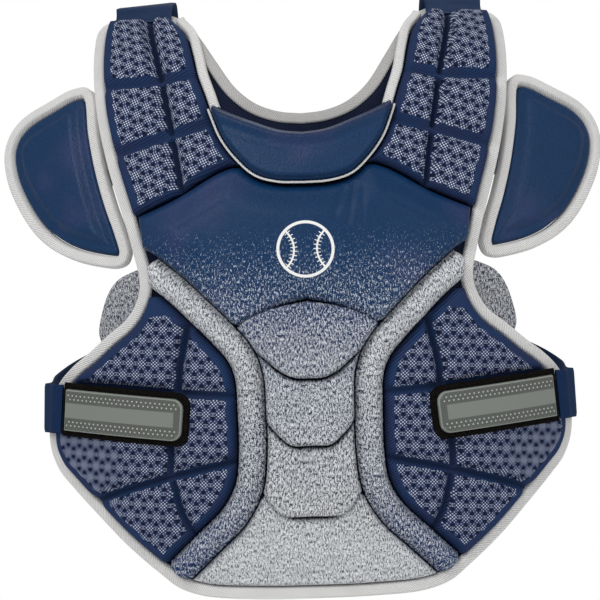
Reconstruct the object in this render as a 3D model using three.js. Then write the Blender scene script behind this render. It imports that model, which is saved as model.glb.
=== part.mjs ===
// Softball chest protector in its worn form. Millimetres, +Z up, front towards -Y.
// The outer face of the backing is one curved sheet, and each piece is drawn on it as a flat pattern:
// "across" is the girth from the centre line, "down" the length from the shoulder top, and heights
// are measured off the sheet, outwards. Tables hold their lengths as shares of the named sizes.
import * as THREE from 'three';
import { mergeVertices } from 'three/addons/utils/BufferGeometryUtils.js';

const degrees = THREE.MathUtils.degToRad;

// Wearer
const TORSO_DEPTH = 235;
const SHOULDER_TOP = 5; // height of the pads' top edge over the origin
const GIRTH_RADIUS = 320; // how the front bends round the chest
const SHOULDER_LEAN = degrees(68); // from upright, at the top edge
const CHEST_LEAN = degrees(20);
const SHOULDER_RADIUS = 140;
const CHEST_RADIUS = 420;
const BELLY_RADIUS = 1400;
const NAPE_RADIUS = 54; // bend of the straps behind the shoulders

// Body outline
const BODY_LENGTH = 496;
const SHOULDER_HALF_GIRTH = 168;
const SHOULDER_INNER_GIRTH = 100;
const ARMPIT_HALF_GIRTH = 130;
const FLANK_HALF_GIRTH = 218;
const HEM_HALF_GIRTH = 105;
const NECK_DEPTH = 123;
const THROAT_DEPTH = 181; // shoulder top to the low edge of the collar
const CORE_HALF_GIRTH = 45; // centre line to the middle of a flex band

// Layers
const LINER_THICKNESS = 3;
const LAYER_GAP = 0.8; // pad over backing
const SEAM_GAP = 1.1; // pad beside pad
const BINDING_WIDTH = 10;
const BINDING_WALL = 1.2;
const BINDING_CROWN = 4.6;
const NECK_BINDING_CROWN = 1.8;
const FABRIC_GAP = 0.5;
const FOLD_PLAY = 1.3; // backing to the rear fold of its binding
const ROW_STEP = 7; // least distance between rows of the backing
const EDGE_PLAY = 2.2; // room between the backing's edge and the fold of its binding
const SHOULDER_PAD_THICKNESS = 13;
const SIDE_PAD_THICKNESS = 13;
const CHEST_THICKNESS = 17;
const CHEST_EDGE = 5;
const COLLAR_THICKNESS = 21;
const COLLAR_EDGE = 13;
const BAND_THICKNESS = 16;
const BAND_WIDTH = 21;
const APRON_THICKNESS = 9;
const APRON_EDGE = 3;
const PAD_EDGE = 4; // height of a pad's border wall
const PAD_ROLL = 6; // width of a pad's rounded border
const GROOVE_WIDTH = 7;
const GROOVE_RISE = 0.3; // share of the quilting left standing in a groove
const CHORD_PLAY = 1; // extra room beside a bent pad
const PIPING_WIDTH = 1.8;

// Where the centre pads end, at the centre line and beside the bands: shares of the body length
const CHEST_BOTTOM = { centre: 0.54, side: 0.579 };
const SCALES = [
  { name: 'scale_upper', centre: 0.661, side: 0.617, thickness: 16 },
  { name: 'scale_middle', centre: 0.764, side: 0.73, thickness: 14 },
  { name: 'scale_lower', centre: 0.873, side: 0.835, thickness: 12 },
];
const APRON_FLARE = 1.1; // how much wider the apron's foot is than its top
const YOKE_SIDE = 0.403; // share of the body length where the yoke seam meets the side
const SHOULDER_PAD_TOP = 26;

// Straps and fastening
const SHOULDER_STRAP_WIDTH = 48;
const SHOULDER_STRAP_TURN = 8; // down the front, where the strap leaves the sheet
const SHOULDER_STRAP_SEW = 0.15; // share of the back plate's height
const SIDE_STRAP_WIDTH = 38;
const SIDE_STRAP_SEW = 0.78; // share of the back plate's height
const STRAP_THICKNESS = 2;
const TAB_LENGTH = 96;
const TAB_WIDTH = 32;
const TAB_THICKNESS = 3.5;
const TAB_CORNER = 8;
const TAB_TILT = degrees(5.7);
const TAB_ACROSS = 141;
const TAB_DOWN = 351;
const PATCH_MARGIN = 4.5;
const PATCH_THICKNESS = 2;

// Arm caps
const CAP_WIDTH = 125;
const CAP_LENGTH = 154;
const CAP_TOP = 85.5;
const CAP_HINGE = 150; // across, where a cap leaves the body
const CAP_HEADING = degrees(24);
const CAP_RADIUS = 350;
const CAP_SETBACK = 11;
const CAP_THICKNESS = 9;
const CAP_TAB_WIDTH = 44;
const CAP_TAB_DOWN = 148;
const CAP_TAB_UNDER = 36; // how far the strip reaches behind the body
const CAP_TAB_REACH = 32; // and behind the cap

// Wings and back plate
const WING_THICKNESS = 4;
const BACK_PAD_WIDTH = 124;
const BACK_PAD_HEIGHT = 160;
const BACK_PAD_THICKNESS = 6;
const BACK_PAD_CORNER = 24;
const BACK_PAD_TOP = -125;

// Outer edge of the body from shoulder top to hem: shares of the body length and of a girth
const SIDE_EDGE = [
  { down: 0.017, across: 0.9, of: SHOULDER_HALF_GIRTH },
  { down: 0.036, across: 0.95, of: SHOULDER_HALF_GIRTH },
  { down: 0.067, across: 0.985, of: SHOULDER_HALF_GIRTH },
  { down: 0.113, across: 1, of: SHOULDER_HALF_GIRTH },
  { down: 0.245, across: 0.975, of: SHOULDER_HALF_GIRTH },
  { down: 0.405, across: 1.1, of: ARMPIT_HALF_GIRTH },
  { down: 0.462, across: 1.038, of: ARMPIT_HALF_GIRTH },
  { down: 0.5, across: 1.003, of: ARMPIT_HALF_GIRTH },
  { down: 0.527, across: 1.012, of: ARMPIT_HALF_GIRTH },
  { down: 0.558, across: 1.083, of: ARMPIT_HALF_GIRTH },
  { down: 0.587, across: 0.733, of: FLANK_HALF_GIRTH },
  { down: 0.629, across: 0.873, of: FLANK_HALF_GIRTH },
  { down: 0.655, across: 0.94, of: FLANK_HALF_GIRTH },
  { down: 0.685, across: 0.985, of: FLANK_HALF_GIRTH },
  { down: 0.726, across: 1, of: FLANK_HALF_GIRTH },
  { down: 0.765, across: 0.993, of: FLANK_HALF_GIRTH },
  { down: 0.798, across: 0.955, of: FLANK_HALF_GIRTH },
  { down: 0.869, across: 0.787, of: FLANK_HALF_GIRTH },
  { down: 0.915, across: 1.4, of: HEM_HALF_GIRTH },
  { down: 0.96, across: 1.146, of: HEM_HALF_GIRTH },
  { down: 0.982, across: 1, of: HEM_HALF_GIRTH },
  { down: 0.995, across: 0.8, of: HEM_HALF_GIRTH },
  { down: 1, across: 0.43, of: HEM_HALF_GIRTH },
  { down: 1.001, across: 0, of: HEM_HALF_GIRTH },
];

// Neckline of the backing, from the centre up to the shoulder top: shares of neck depth and inner girth
const NECKLINE = [
  { down: 1, across: 0 },
  { down: 0.983, across: 0.172 },
  { down: 0.925, across: 0.345 },
  { down: 0.814, across: 0.497 },
  { down: 0.602, across: 0.654 },
  { down: 0.374, across: 0.779 },
  { down: 0.163, across: 0.896 },
  { down: 0.068, across: 1.007 },
];

// Neck side of the shoulder pads and low edge of the collar: shares of throat depth and inner girth
const THROAT_SEAM = [
  { down: 0.1, across: 1 },
  { down: 0.175, across: 0.957 },
  { down: 0.26, across: 0.877 },
  { down: 0.38, across: 0.83 },
  { down: 0.496, across: 0.786 },
  { down: 0.603, across: 0.732 },
  { down: 0.705, across: 0.671 },
  { down: 0.807, across: 0.6 },
  { down: 0.893, across: 0.493 },
  { down: 0.963, across: 0.348 },
  { down: 0.992, across: 0.187 },
  { down: 1, across: 0 },
];

// Top edge of the collar: shares of the way from neck binding to throat, and of the inner girth
const COLLAR_TOP = [
  { drop: 0.157, across: 0 },
  { drop: 0.112, across: 0.163 },
  { drop: -0.037, across: 0.364 },
  { drop: -0.213, across: 0.541 },
  { drop: -0.324, across: 0.664 },
];
const COLLAR_END = 7.5; // height of the collar's blunt corner
const COLLAR_SLANT = 0.97; // girth of its upper corner as a share of the lower one's
const YOKE_INNER = 0.91; // share of the throat depth where the yoke seam meets the collar

// Middle line of a flex band, armpit to hem: shares of body length and of a girth
const BAND_LINE = [
  { down: 0.486, across: 0.935, of: ARMPIT_HALF_GIRTH },
  { down: 0.52, across: 0.77, of: ARMPIT_HALF_GIRTH },
  { down: 0.553, across: 0.64, of: ARMPIT_HALF_GIRTH },
  { down: 0.586, across: 0.51, of: ARMPIT_HALF_GIRTH },
  { down: 0.619, across: 1.16, of: CORE_HALF_GIRTH },
  { down: 0.652, across: 1.02, of: CORE_HALF_GIRTH },
  { down: 0.71, across: 0.99, of: CORE_HALF_GIRTH },
  { down: 0.77, across: 0.99, of: CORE_HALF_GIRTH },
  { down: 0.825, across: 1.07, of: CORE_HALF_GIRTH },
  { down: 0.869, across: 0.57, of: HEM_HALF_GIRTH },
  { down: 0.91, across: 0.77, of: HEM_HALF_GIRTH },
  { down: 0.956, across: 1, of: HEM_HALF_GIRTH },
];
const BAND_RISE = [0, 0.75, 1, 0.75, 0]; // ridge, edge to edge

// Quilt rows, top to bottom: where each cross groove starts and ends, and the upright groove's share
const SHOULDER_ROWS = [
  { inner: 0, outer: 0, split: 0.4 },
  { inner: 0.455, outer: 0.405, split: 0.39 },
  { inner: 0.75, outer: 0.715, split: 0.4 },
  { inner: 1, outer: 1, split: 0.53 },
];
const SIDE_ROWS = [
  { inner: 0.537, outer: 0.537, split: 0.42 },
  { inner: 0.683, outer: 0.659, split: 0.29 },
  { inner: 0.785, outer: 0.839, split: 0.41 },
  { inner: 0.934, outer: 0.934, split: 0.5 },
];

// Outline of an arm cap: shares of its width from the hinge and of its length from the top
const CAP_OUTLINE = [
  { across: 0.185, down: 0.05 },
  { across: 0.25, down: 0 },
  { across: 0.34, down: 0.005 },
  { across: 0.54, down: 0.08 },
  { across: 0.765, down: 0.17 },
  { across: 0.89, down: 0.26 },
  { across: 0.945, down: 0.38 },
  { across: 0.91, down: 0.53 },
  { across: 0.805, down: 0.68 },
  { across: 0.675, down: 0.81 },
  { across: 0.527, down: 0.895 },
  { across: 0.357, down: 0.95 },
  { across: 0.168, down: 0.985 },
  { across: 0.04, down: 0.995 },
  { across: -0.03, down: 0.97 },
  { across: -0.054, down: 0.92 },
  { across: -0.018, down: 0.8 },
  { across: 0.044, down: 0.66 },
  { across: 0.109, down: 0.475 },
  { across: 0.158, down: 0.27 },
];

const HEM_START = 0.93; // share of the body length where the side turns into the hem
const LINER_FOOT = { start: 0.965, taper: 0.96 }; // lowest row of the backing

// Free edge of a wing: shares of the body length and of the armpit girth, with the hidden edge
const WING_ROWS = [
  { down: 0.486, hidden: 0.9, free: 1.07 },
  { down: 0.5, hidden: 0.88, free: 1.19 },
  { down: 0.52, hidden: 0.88, free: 1.26 },
  { down: 0.556, hidden: 0.92, free: 1.32 },
  { down: 0.585, hidden: 1, free: 1.34 },
  { down: 0.605, hidden: 1.1, free: 1.31 },
  { down: 0.628, hidden: 1.15, free: 1.26 },
];

// Side strap from the flank's edge to the back plate: shares of the way in, back and down
const STRAP_ROUND = [
  { side: 0.99, depth: 0.25, rise: 0.1 },
  { side: 0.92, depth: 0.5, rise: 0.3 },
  { side: 0.78, depth: 0.76, rise: 0.55 },
  { side: 0.58, depth: 0.93, rise: 0.8 },
];

// Shoulder strap down the back: shares of the way in and down, and of its turn to the slant
const STRAP_FALL = [
  { side: 0.07, down: 0.12, turn: 0.3 },
  { side: 0.25, down: 0.3, turn: 0.8 },
  { side: 0.58, down: 0.6, turn: 1 },
  { side: 1, down: 1, turn: 1 },
];

const COLOURS = {
  navy_leather: { color: 0x1f3e64, roughness: 0.42, metalness: 0 },
  quilted_mesh: { color: 0x39496f, roughness: 0.85, metalness: 0 },
  heather: { color: 0xb4b8bf, roughness: 0.9, metalness: 0 },
  white_binding: { color: 0xdededc, roughness: 0.8, metalness: 0 },
  lining: { color: 0x141a2e, roughness: 0.95, metalness: 0 },
  webbing: { color: 0x16335a, roughness: 0.75, metalness: 0 },
  hook_fabric: { color: 0x14110f, roughness: 0.95, metalness: 0 },
  rubber: { color: 0x747a72, roughness: 0.6, metalness: 0 },
};

// Curved sheet

// Steps back and down of an arc that leans from one angle to another
function arcStep(from, to, radius) {
  return { back: radius * (Math.cos(from) - Math.cos(to)), up: radius * (Math.sin(to) - Math.sin(from)) };
}

// Lean, depth and height of the sheet at a length down the front, or over the shoulder when negative
function sideProfile(down) {
  const arcs = down >= 0
    ? [
      { to: CHEST_LEAN, radius: SHOULDER_RADIUS },
      { to: 0, radius: CHEST_RADIUS },
      { to: -Math.PI / 2, radius: BELLY_RADIUS },
    ]
    : [
      { to: Math.PI / 2, radius: SHOULDER_RADIUS },
      { to: Math.PI, radius: NAPE_RADIUS },
    ];
  const place = { lean: SHOULDER_LEAN, back: 0, up: 0 };
  let left = Math.abs(down);
  for (const { to, radius } of arcs) {
    const turn = to - place.lean;
    const used = Math.min(left, Math.abs(turn) * radius);
    const lean = place.lean + Math.sign(turn) * (used / radius);
    const step = arcStep(place.lean, lean, radius);
    place.back += step.back;
    place.up += step.up;
    place.lean = lean;
    left -= used;
  }
  if (down < 0) {
    place.up -= left;
  }
  return place;
}

const CHEST_FRONT = arcStep(SHOULDER_LEAN, CHEST_LEAN, SHOULDER_RADIUS).back
  + arcStep(CHEST_LEAN, 0, CHEST_RADIUS).back;

// A sheet that bends round the body from a start place and heading
function makeSheet({ x = 0, y = -TORSO_DEPTH / 2, heading = 0, radius = GIRTH_RADIUS, setback = 0 } = {}) {
  const normal = (across, down) => {
    const turn = heading + across / radius;
    const { lean } = sideProfile(down);
    const round = new THREE.Vector3(Math.cos(turn), Math.sin(turn), 0);
    const upward = new THREE.Vector3(0, Math.sin(lean), Math.cos(lean));
    return round.cross(upward).normalize();
  };
  const place = (across, down, height) => {
    const turn = heading + across / radius;
    const side = sideProfile(down);
    return new THREE.Vector3(
      x + radius * (Math.sin(turn) - Math.sin(heading)),
      y + side.back - CHEST_FRONT + radius * (Math.cos(heading) - Math.cos(turn)),
      SHOULDER_TOP + side.up,
    ).addScaledVector(normal(across, down), height - setback);
  };
  // Cosine of the angle between the across and down directions
  const skew = (across, down) => -Math.sin(heading + across / radius) * Math.sin(sideProfile(down).lean);
  return { place, normal, skew };
}

const body = makeSheet();
const capStart = CAP_HINGE / GIRTH_RADIUS;
const capSheet = makeSheet({
  x: GIRTH_RADIUS * Math.sin(capStart),
  y: -TORSO_DEPTH / 2 + GIRTH_RADIUS * (1 - Math.cos(capStart)),
  heading: CAP_HEADING,
  radius: CAP_RADIUS,
  setback: CAP_SETBACK,
});

// Flat pattern lines

const mix = (a, b, share) => a + (b - a) * share;
const mixPoint = (p, q, share) => [mix(p[0], q[0], share), mix(p[1], q[1], share)];

// Smooth line through pattern points, with a few chords between neighbours
function smoothLine(points, chords) {
  const corners = points.map(([across, down]) => new THREE.Vector3(across, down, 0));
  const curve = new THREE.CatmullRomCurve3(corners, false, 'centripetal');
  return curve.getPoints((points.length - 1) * chords).map(({ x, y }) => [x, y]);
}

// The line moved sideways by a true distance on the sheet, to the right of its direction of travel
function sideways(line, distance, sheet, closed = false) {
  const last = line.length - 1;
  return line.map(([across, down], i) => {
    const before = closed ? line[(i + last) % line.length] : line[Math.max(i - 1, 0)];
    const after = closed ? line[(i + 1) % line.length] : line[Math.min(i + 1, last)];
    const run = [after[0] - before[0], after[1] - before[1]];
    const skew = sheet.skew(across, down);
    const square = [-(skew * run[0] + run[1]), run[0] + skew * run[1]];
    const size = Math.sqrt(square[0] ** 2 + square[1] ** 2 + 2 * skew * square[0] * square[1]);
    return [across + (square[0] / size) * distance, down + (square[1] / size) * distance];
  });
}

// Value of one column of a line where another column, 0 across or 1 down, has a given value
function lookUp(line, column, value) {
  const other = 1 - column;
  const rising = line[line.length - 1][column] > line[0][column];
  const rows = rising ? line : [...line].reverse();
  let i = rows.findIndex((row) => row[column] >= value);
  i = i < 0 ? rows.length - 1 : Math.max(i, 1);
  const [p, q] = [rows[i - 1], rows[i]];
  const share = THREE.MathUtils.clamp((value - p[column]) / (q[column] - p[column]), 0, 1);
  return mix(p[other], q[other], share);
}
const acrossAt = (line, down) => lookUp(line, 1, down);
const downAt = (line, across) => lookUp(line, 0, across);

const sideEdge = smoothLine(SIDE_EDGE.map((row) => [row.across * row.of, row.down * BODY_LENGTH]), 2);
const neckline = NECKLINE.map((row) => [row.across * SHOULDER_INNER_GIRTH, row.down * NECK_DEPTH]);
const throatSeam = smoothLine(
  THROAT_SEAM.map((row) => [row.across * SHOULDER_INNER_GIRTH, row.down * THROAT_DEPTH]),
  2,
);
const bandLine = BAND_LINE.map((row) => [row.across * row.of, row.down * BODY_LENGTH]);
const collarTopLine = smoothLine(
  COLLAR_TOP.map((row) => [
    row.across * SHOULDER_INNER_GIRTH,
    mix(NECK_DEPTH + BINDING_WIDTH, THROAT_DEPTH, row.drop),
  ]),
  2,
);

// Half of the body's edge, from the neckline's centre over the shoulder and down to the hem's centre
const shoulderEnds = [neckline[neckline.length - 1], sideEdge[0]];
const halfEdge = [
  ...neckline,
  mixPoint(...shoulderEnds, 0.33),
  mixPoint(...shoulderEnds, 0.67),
  ...sideEdge,
];
const collarTip = collarTopLine[collarTopLine.length - 1][1] + COLLAR_END;
const capEdge = CAP_OUTLINE.map((row) => [row.across * CAP_WIDTH, CAP_TOP + row.down * CAP_LENGTH]);

const insideBinding = sideways(sideEdge, BINDING_WIDTH + SEAM_GAP, body);
const coreEdge = sideways(bandLine, BAND_WIDTH / 2 + SEAM_GAP, body);
const sidePadEdge = sideways(bandLine, -BAND_WIDTH / 2 - SEAM_GAP, body);

// A pattern point kept inside the binding
function inside([across, down]) {
  const hem = insideBinding.slice(insideBinding.findIndex((row) => row[1] > HEM_START * BODY_LENGTH));
  const limit = down < hem[0][1] ? acrossAt(insideBinding, down) : Infinity;
  const kept = Math.min(across, limit);
  return [kept, Math.min(down, downAt(hem, kept))];
}

// Solids

// Closed geometry from triangles of points, turned to face outwards
function solidFrom(triangles) {
  const geometry = new THREE.BufferGeometry();
  const kept = triangles.filter(([a, b, c]) => new THREE.Triangle(a, b, c).getArea() > 1e-6);
  const volume = kept.reduce((sum, [a, b, c]) => sum + a.dot(b.clone().cross(c)), 0);
  const corners = kept.flatMap(([a, b, c]) => (volume < 0 ? [a, c, b] : [a, b, c]));
  const positions = new Float32Array(corners.flatMap((p) => p.toArray()));
  geometry.setAttribute('position', new THREE.BufferAttribute(positions, 3));
  const merged = mergeVertices(geometry, 1e-3);
  merged.computeVertexNormals();
  return merged;
}

// Closed slab between two grids of points of the same size
function slab(low, high) {
  const triangles = [];
  const quad = (a, b, c, d) => triangles.push([a, b, c], [a, c, d]);
  const rows = high.length - 1;
  const lanes = high[0].length - 1;
  for (let i = 0; i < rows; i += 1) {
    for (let j = 0; j < lanes; j += 1) {
      quad(high[i][j], high[i + 1][j], high[i + 1][j + 1], high[i][j + 1]);
      quad(low[i][j], low[i][j + 1], low[i + 1][j + 1], low[i + 1][j]);
    }
    quad(low[i][0], low[i + 1][0], high[i + 1][0], high[i][0]);
    quad(high[i][lanes], high[i + 1][lanes], low[i + 1][lanes], low[i][lanes]);
  }
  for (let j = 0; j < lanes; j += 1) {
    quad(high[0][j], high[0][j + 1], low[0][j + 1], low[0][j]);
    quad(low[rows][j], low[rows][j + 1], high[rows][j + 1], high[rows][j]);
  }
  return solidFrom(triangles);
}

// Solid swept through loops of points, closed on itself or capped at both ends
function sweep(loops, closed) {
  const triangles = [];
  const sides = loops[0].length;
  const spans = closed ? loops.length : loops.length - 1;
  for (let i = 0; i < spans; i += 1) {
    const [here, next] = [loops[i], loops[(i + 1) % loops.length]];
    for (let k = 0; k < sides; k += 1) {
      const m = (k + 1) % sides;
      triangles.push([here[k], next[k], next[m]], [here[k], next[m], here[m]]);
    }
  }
  if (!closed) {
    const [first, last] = [loops[0], loops[loops.length - 1]];
    for (let k = 1; k < sides - 1; k += 1) {
      triangles.push([first[0], first[k], first[k + 1]], [last[0], last[k + 1], last[k]]);
    }
  }
  return solidFrom(triangles);
}

// Flat strap along centre points, each with its width direction
function ribbon(route, width, thickness) {
  const last = route.length - 1;
  const loops = route.map(({ point, across }, i) => {
    const run = route[Math.min(i + 1, last)].point.clone().sub(route[Math.max(i - 1, 0)].point);
    const wide = across.clone().normalize().multiplyScalar(width / 2);
    const thick = wide.clone().cross(run).normalize().multiplyScalar(thickness / 2);
    return [[-1, -1], [1, -1], [1, 1], [-1, 1]].map(([w, t]) => (
      point.clone().addScaledVector(wide, w).addScaledVector(thick, t)
    ));
  });
  return sweep(loops, false);
}

// The same solid on the other side of the centre plane
function mirrored(geometry) {
  const copy = geometry.clone().scale(-1, 1, 1);
  const index = copy.index.array;
  for (let i = 0; i < index.length; i += 3) {
    [index[i + 1], index[i + 2]] = [index[i + 2], index[i + 1]];
  }
  copy.computeVertexNormals();
  return copy;
}

// Pads

// Pad drawn by stations: each has a start and an end point of the pattern, a rise, and lanes between them
function pad(stations, { sheet = body, base = LAYER_GAP, edge = PAD_EDGE, thickness }) {
  const grid = (height) => stations.map(({ from, to, rise, lanes }) => lanes.map((lane) => {
    const [across, down] = mixPoint(from, to, lane.at);
    return sheet.place(across, down, height(Math.min(rise, lane.rise)));
  }));
  return slab(grid(() => base), grid((rise) => base + mix(edge, thickness, rise)));
}

// Lanes across a pad of a given width: rounded borders, even fill, and a groove where there is a split
function paddedLanes(width, { split = null, fill = 1 }) {
  const roll = Math.min(PAD_ROLL / width, 0.3);
  const half = Math.min(GROOVE_WIDTH / 2 / width, 0.12);
  const start = [{ at: 0, rise: 0 }, { at: roll, rise: 1 }];
  const end = [{ at: 1 - roll, rise: 1 }, { at: 1, rise: 0 }];
  if (split === null) {
    const middle = Array.from({ length: fill }, (_, i) => ({
      at: mix(roll, 1 - roll, (i + 1) / (fill + 1)),
      rise: 1,
    }));
    return [...start, ...middle, ...end];
  }
  const groove = [
    { at: split - half, rise: 1 },
    { at: split, rise: GROOVE_RISE },
    { at: split + half, rise: 1 },
  ];
  const beyond = [1, 2].map((i) => ({ at: mix(split + half, 1 - roll, i / 3), rise: 1 }));
  return [...start, ...groove, ...beyond, ...end];
}

const stationWidth = ({ from, to }) => Math.hypot(to[0] - from[0], to[1] - from[1]);

// Stations of a quilted pad between two rails, with a groove at each inner row of its table
function quiltStations(rows, innerPoint, outerPoint, steps) {
  const stations = [];
  rows.slice(0, -1).forEach((row, block) => {
    const next = rows[block + 1];
    const length = innerPoint(next.inner)[1] - innerPoint(row.inner)[1];
    const lead = (block === 0 ? PAD_ROLL : GROOVE_WIDTH / 2) / length;
    const tail = (block === rows.length - 2 ? PAD_ROLL : GROOVE_WIDTH / 2) / length;
    const shares = [{ at: 0, rise: block === 0 ? 0 : GROOVE_RISE }];
    for (let i = 0; i <= steps; i += 1) {
      shares.push({ at: mix(lead, 1 - tail, i / steps), rise: 1 });
    }
    if (block === rows.length - 2) {
      shares.push({ at: 1, rise: 0 });
    }
    shares.forEach(({ at, rise }) => {
      const from = innerPoint(mix(row.inner, next.inner, at));
      const to = outerPoint(mix(row.outer, next.outer, at));
      const split = mix(row.split, next.split, at);
      stations.push({ from, to, rise, lanes: paddedLanes(stationWidth({ from, to }), { split }) });
    });
  });
  return stations;
}

function shoulderPad() {
  const seam = sideways(throatSeam, -SEAM_GAP / 2, body);
  const besideNeck = sideways(neckline, BINDING_WIDTH + SEAM_GAP, body);
  const innerEnd = YOKE_INNER * THROAT_DEPTH - SEAM_GAP;
  const outerEnd = YOKE_SIDE * BODY_LENGTH - SEAM_GAP;
  const innerPoint = (share) => {
    const down = mix(SHOULDER_PAD_TOP, innerEnd, share);
    return [Math.max(acrossAt(seam, down), acrossAt(besideNeck, down)), down];
  };
  const outerPoint = (share) => {
    const down = mix(SHOULDER_PAD_TOP, outerEnd, share);
    return [acrossAt(insideBinding, down), down];
  };
  const stations = quiltStations(SHOULDER_ROWS, innerPoint, outerPoint, 3);
  return pad(stations, { thickness: SHOULDER_PAD_THICKNESS });
}

function sidePad() {
  const pointOn = (line) => (share) => [acrossAt(line, share * BODY_LENGTH), share * BODY_LENGTH];
  const innerPoint = (share) => inside(pointOn(sidePadEdge)(share));
  const stations = quiltStations(SIDE_ROWS, innerPoint, pointOn(insideBinding), 4);
  return pad(stations, { thickness: SIDE_PAD_THICKNESS });
}

function flexBand() {
  const inner = sideways(bandLine, BAND_WIDTH / 2, body);
  const outer = sideways(bandLine, -BAND_WIDTH / 2, body);
  const lanes = BAND_RISE.map((rise, i) => ({ at: i / (BAND_RISE.length - 1), rise }));
  const last = bandLine.length - 1;
  const stations = inner.map((point, i) => ({
    from: inside(point),
    to: inside(outer[i]),
    rise: i === 0 || i === last ? 0.5 : 1,
    lanes,
  }));
  return pad(stations, { thickness: BAND_THICKNESS });
}

// Centre pads are drawn from the centre line outwards, between a top and a bottom line

const CORE_SHARES = [0, 0.3, 0.6, 0.85, 1];

// Shapes of a bottom line: share of the way out, and share of the climb from the centre to the side
const DIP = [[0, 0], [0.25, 0.02], [0.47, 0.06], [0.72, 0.45], [0.92, 0.85], [1, 1]];
const ARCH = [[0, 0], [0.33, 0.2], [0.66, 0.65], [1, 1]];

// Point of a bottom line that runs from the centre line to the core's edge
function bottomPoint({ centre, side }, shape, share, lift) {
  const reach = acrossAt(coreEdge, side * BODY_LENGTH);
  const down = mix(centre, side, lookUp(shape, 0, share)) * BODY_LENGTH;
  return [share * reach, down + lift];
}

// Both halves of a centre pad from columns of top and bottom points, the last of them its side border
function centrePad(columns, { thickness, edge = PAD_EDGE, steps = 2, besideBand = false }) {
  const last = columns.length - 1;
  const point = (top, bottom, at) => {
    const [across, down] = mixPoint(top, bottom, at);
    return [besideBand ? Math.min(across, acrossAt(coreEdge, down) - CHORD_PLAY) : across, down];
  };
  const low = [];
  const high = [];
  columns.forEach(({ top, bottom }, c) => {
    const length = stationWidth({ from: top, to: bottom });
    const roll = Math.min(PAD_ROLL / length, 0.3);
    const raised = Array.from({ length: steps + 2 }, (_, i) => mix(roll, 1 - roll, i / (steps + 1)));
    const shares = [{ at: 0, rise: 0 }, ...raised.map((at) => ({ at, rise: 1 })), { at: 1, rise: 0 }];
    low.push(shares.map(({ at }) => [...point(top, bottom, at), LAYER_GAP]));
    high.push(shares.map(({ at, rise }) => [
      ...point(top, bottom, at),
      LAYER_GAP + mix(edge, thickness, c === last ? 0 : rise),
    ]));
  });
  const bothHalves = (grid) => [
    ...grid.slice(1).reverse().map((column) => column.map(([a, d, h]) => body.place(-a, d, h))),
    ...grid.map((column) => column.map(([a, d, h]) => body.place(a, d, h))),
  ];
  return slab(bothHalves(low), bothHalves(high));
}

function chestPlate() {
  const throat = sideways(throatSeam, -SEAM_GAP / 2, body);
  const yokeDown = YOKE_INNER * THROAT_DEPTH;
  const yokeInner = [acrossAt(throat, yokeDown), yokeDown + SEAM_GAP];
  const yokeOuter = inside([Infinity, YOKE_SIDE * BODY_LENGTH + SEAM_GAP]);
  const columns = [];
  for (const share of [0, 0.25, 0.5, 0.75, 1]) {
    const across = share * yokeInner[0];
    const top = share === 1 ? yokeInner : [across, downAt(throat, across)];
    columns.push({ top, bottom: bottomPoint(CHEST_BOTTOM, ARCH, share, -SEAM_GAP) });
  }
  const lowest = CHEST_BOTTOM.side * BODY_LENGTH - SEAM_GAP;
  const armpit = BAND_LINE[0].down * BODY_LENGTH - BAND_WIDTH / 2;
  for (const share of [0.15, 0.32, 0.5, 0.68, 0.85, 0.95, 1]) {
    const down = mix(lowest, armpit, share);
    const bottom = inside([acrossAt(coreEdge, down), down]);
    columns.push({ top: mixPoint(yokeInner, yokeOuter, share), bottom });
  }
  return centrePad(columns, { thickness: CHEST_THICKNESS, edge: CHEST_EDGE, steps: 3 });
}

function collar() {
  const low = sideways(throatSeam, SEAM_GAP / 2, body);
  const corner = acrossAt(throatSeam, collarTip) - SEAM_GAP;
  const columns = [0, 0.2, 0.4, 0.6, 0.8, 0.93, 1].map((share) => {
    const across = share * corner;
    return {
      top: [across * COLLAR_SLANT, downAt(collarTopLine, across * COLLAR_SLANT)],
      bottom: [across, downAt(low, across) - SEAM_GAP],
    };
  });
  return centrePad(columns, { thickness: COLLAR_THICKNESS, edge: COLLAR_EDGE, steps: 1 });
}

function scalePad(index) {
  const above = index === 0 ? CHEST_BOTTOM : SCALES[index - 1];
  const columns = CORE_SHARES.map((share) => ({
    top: bottomPoint(above, index === 0 ? ARCH : DIP, share, SEAM_GAP / 2),
    bottom: bottomPoint(SCALES[index], DIP, share, -SEAM_GAP / 2),
  }));
  return centrePad(columns, { thickness: SCALES[index].thickness, besideBand: true });
}

function apron() {
  const above = SCALES[SCALES.length - 1];
  const columns = CORE_SHARES.map((share) => {
    const top = bottomPoint(above, DIP, share, SEAM_GAP / 2);
    return { top, bottom: inside([top[0] * APRON_FLARE, BODY_LENGTH]) };
  });
  const foot = BAND_LINE[BAND_LINE.length - 1].down;
  for (const share of [0.3, 0.6, 0.85, 1]) {
    const down = mix(above.side, foot, share) * BODY_LENGTH;
    const top = [acrossAt(coreEdge, down), down];
    columns.push({ top, bottom: inside([top[0] + PAD_ROLL, BODY_LENGTH]) });
  }
  const size = { thickness: APRON_THICKNESS, edge: APRON_EDGE, steps: 1 };
  return centrePad(columns, { ...size, besideBand: true });
}

// Backing, bindings, wings

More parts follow.
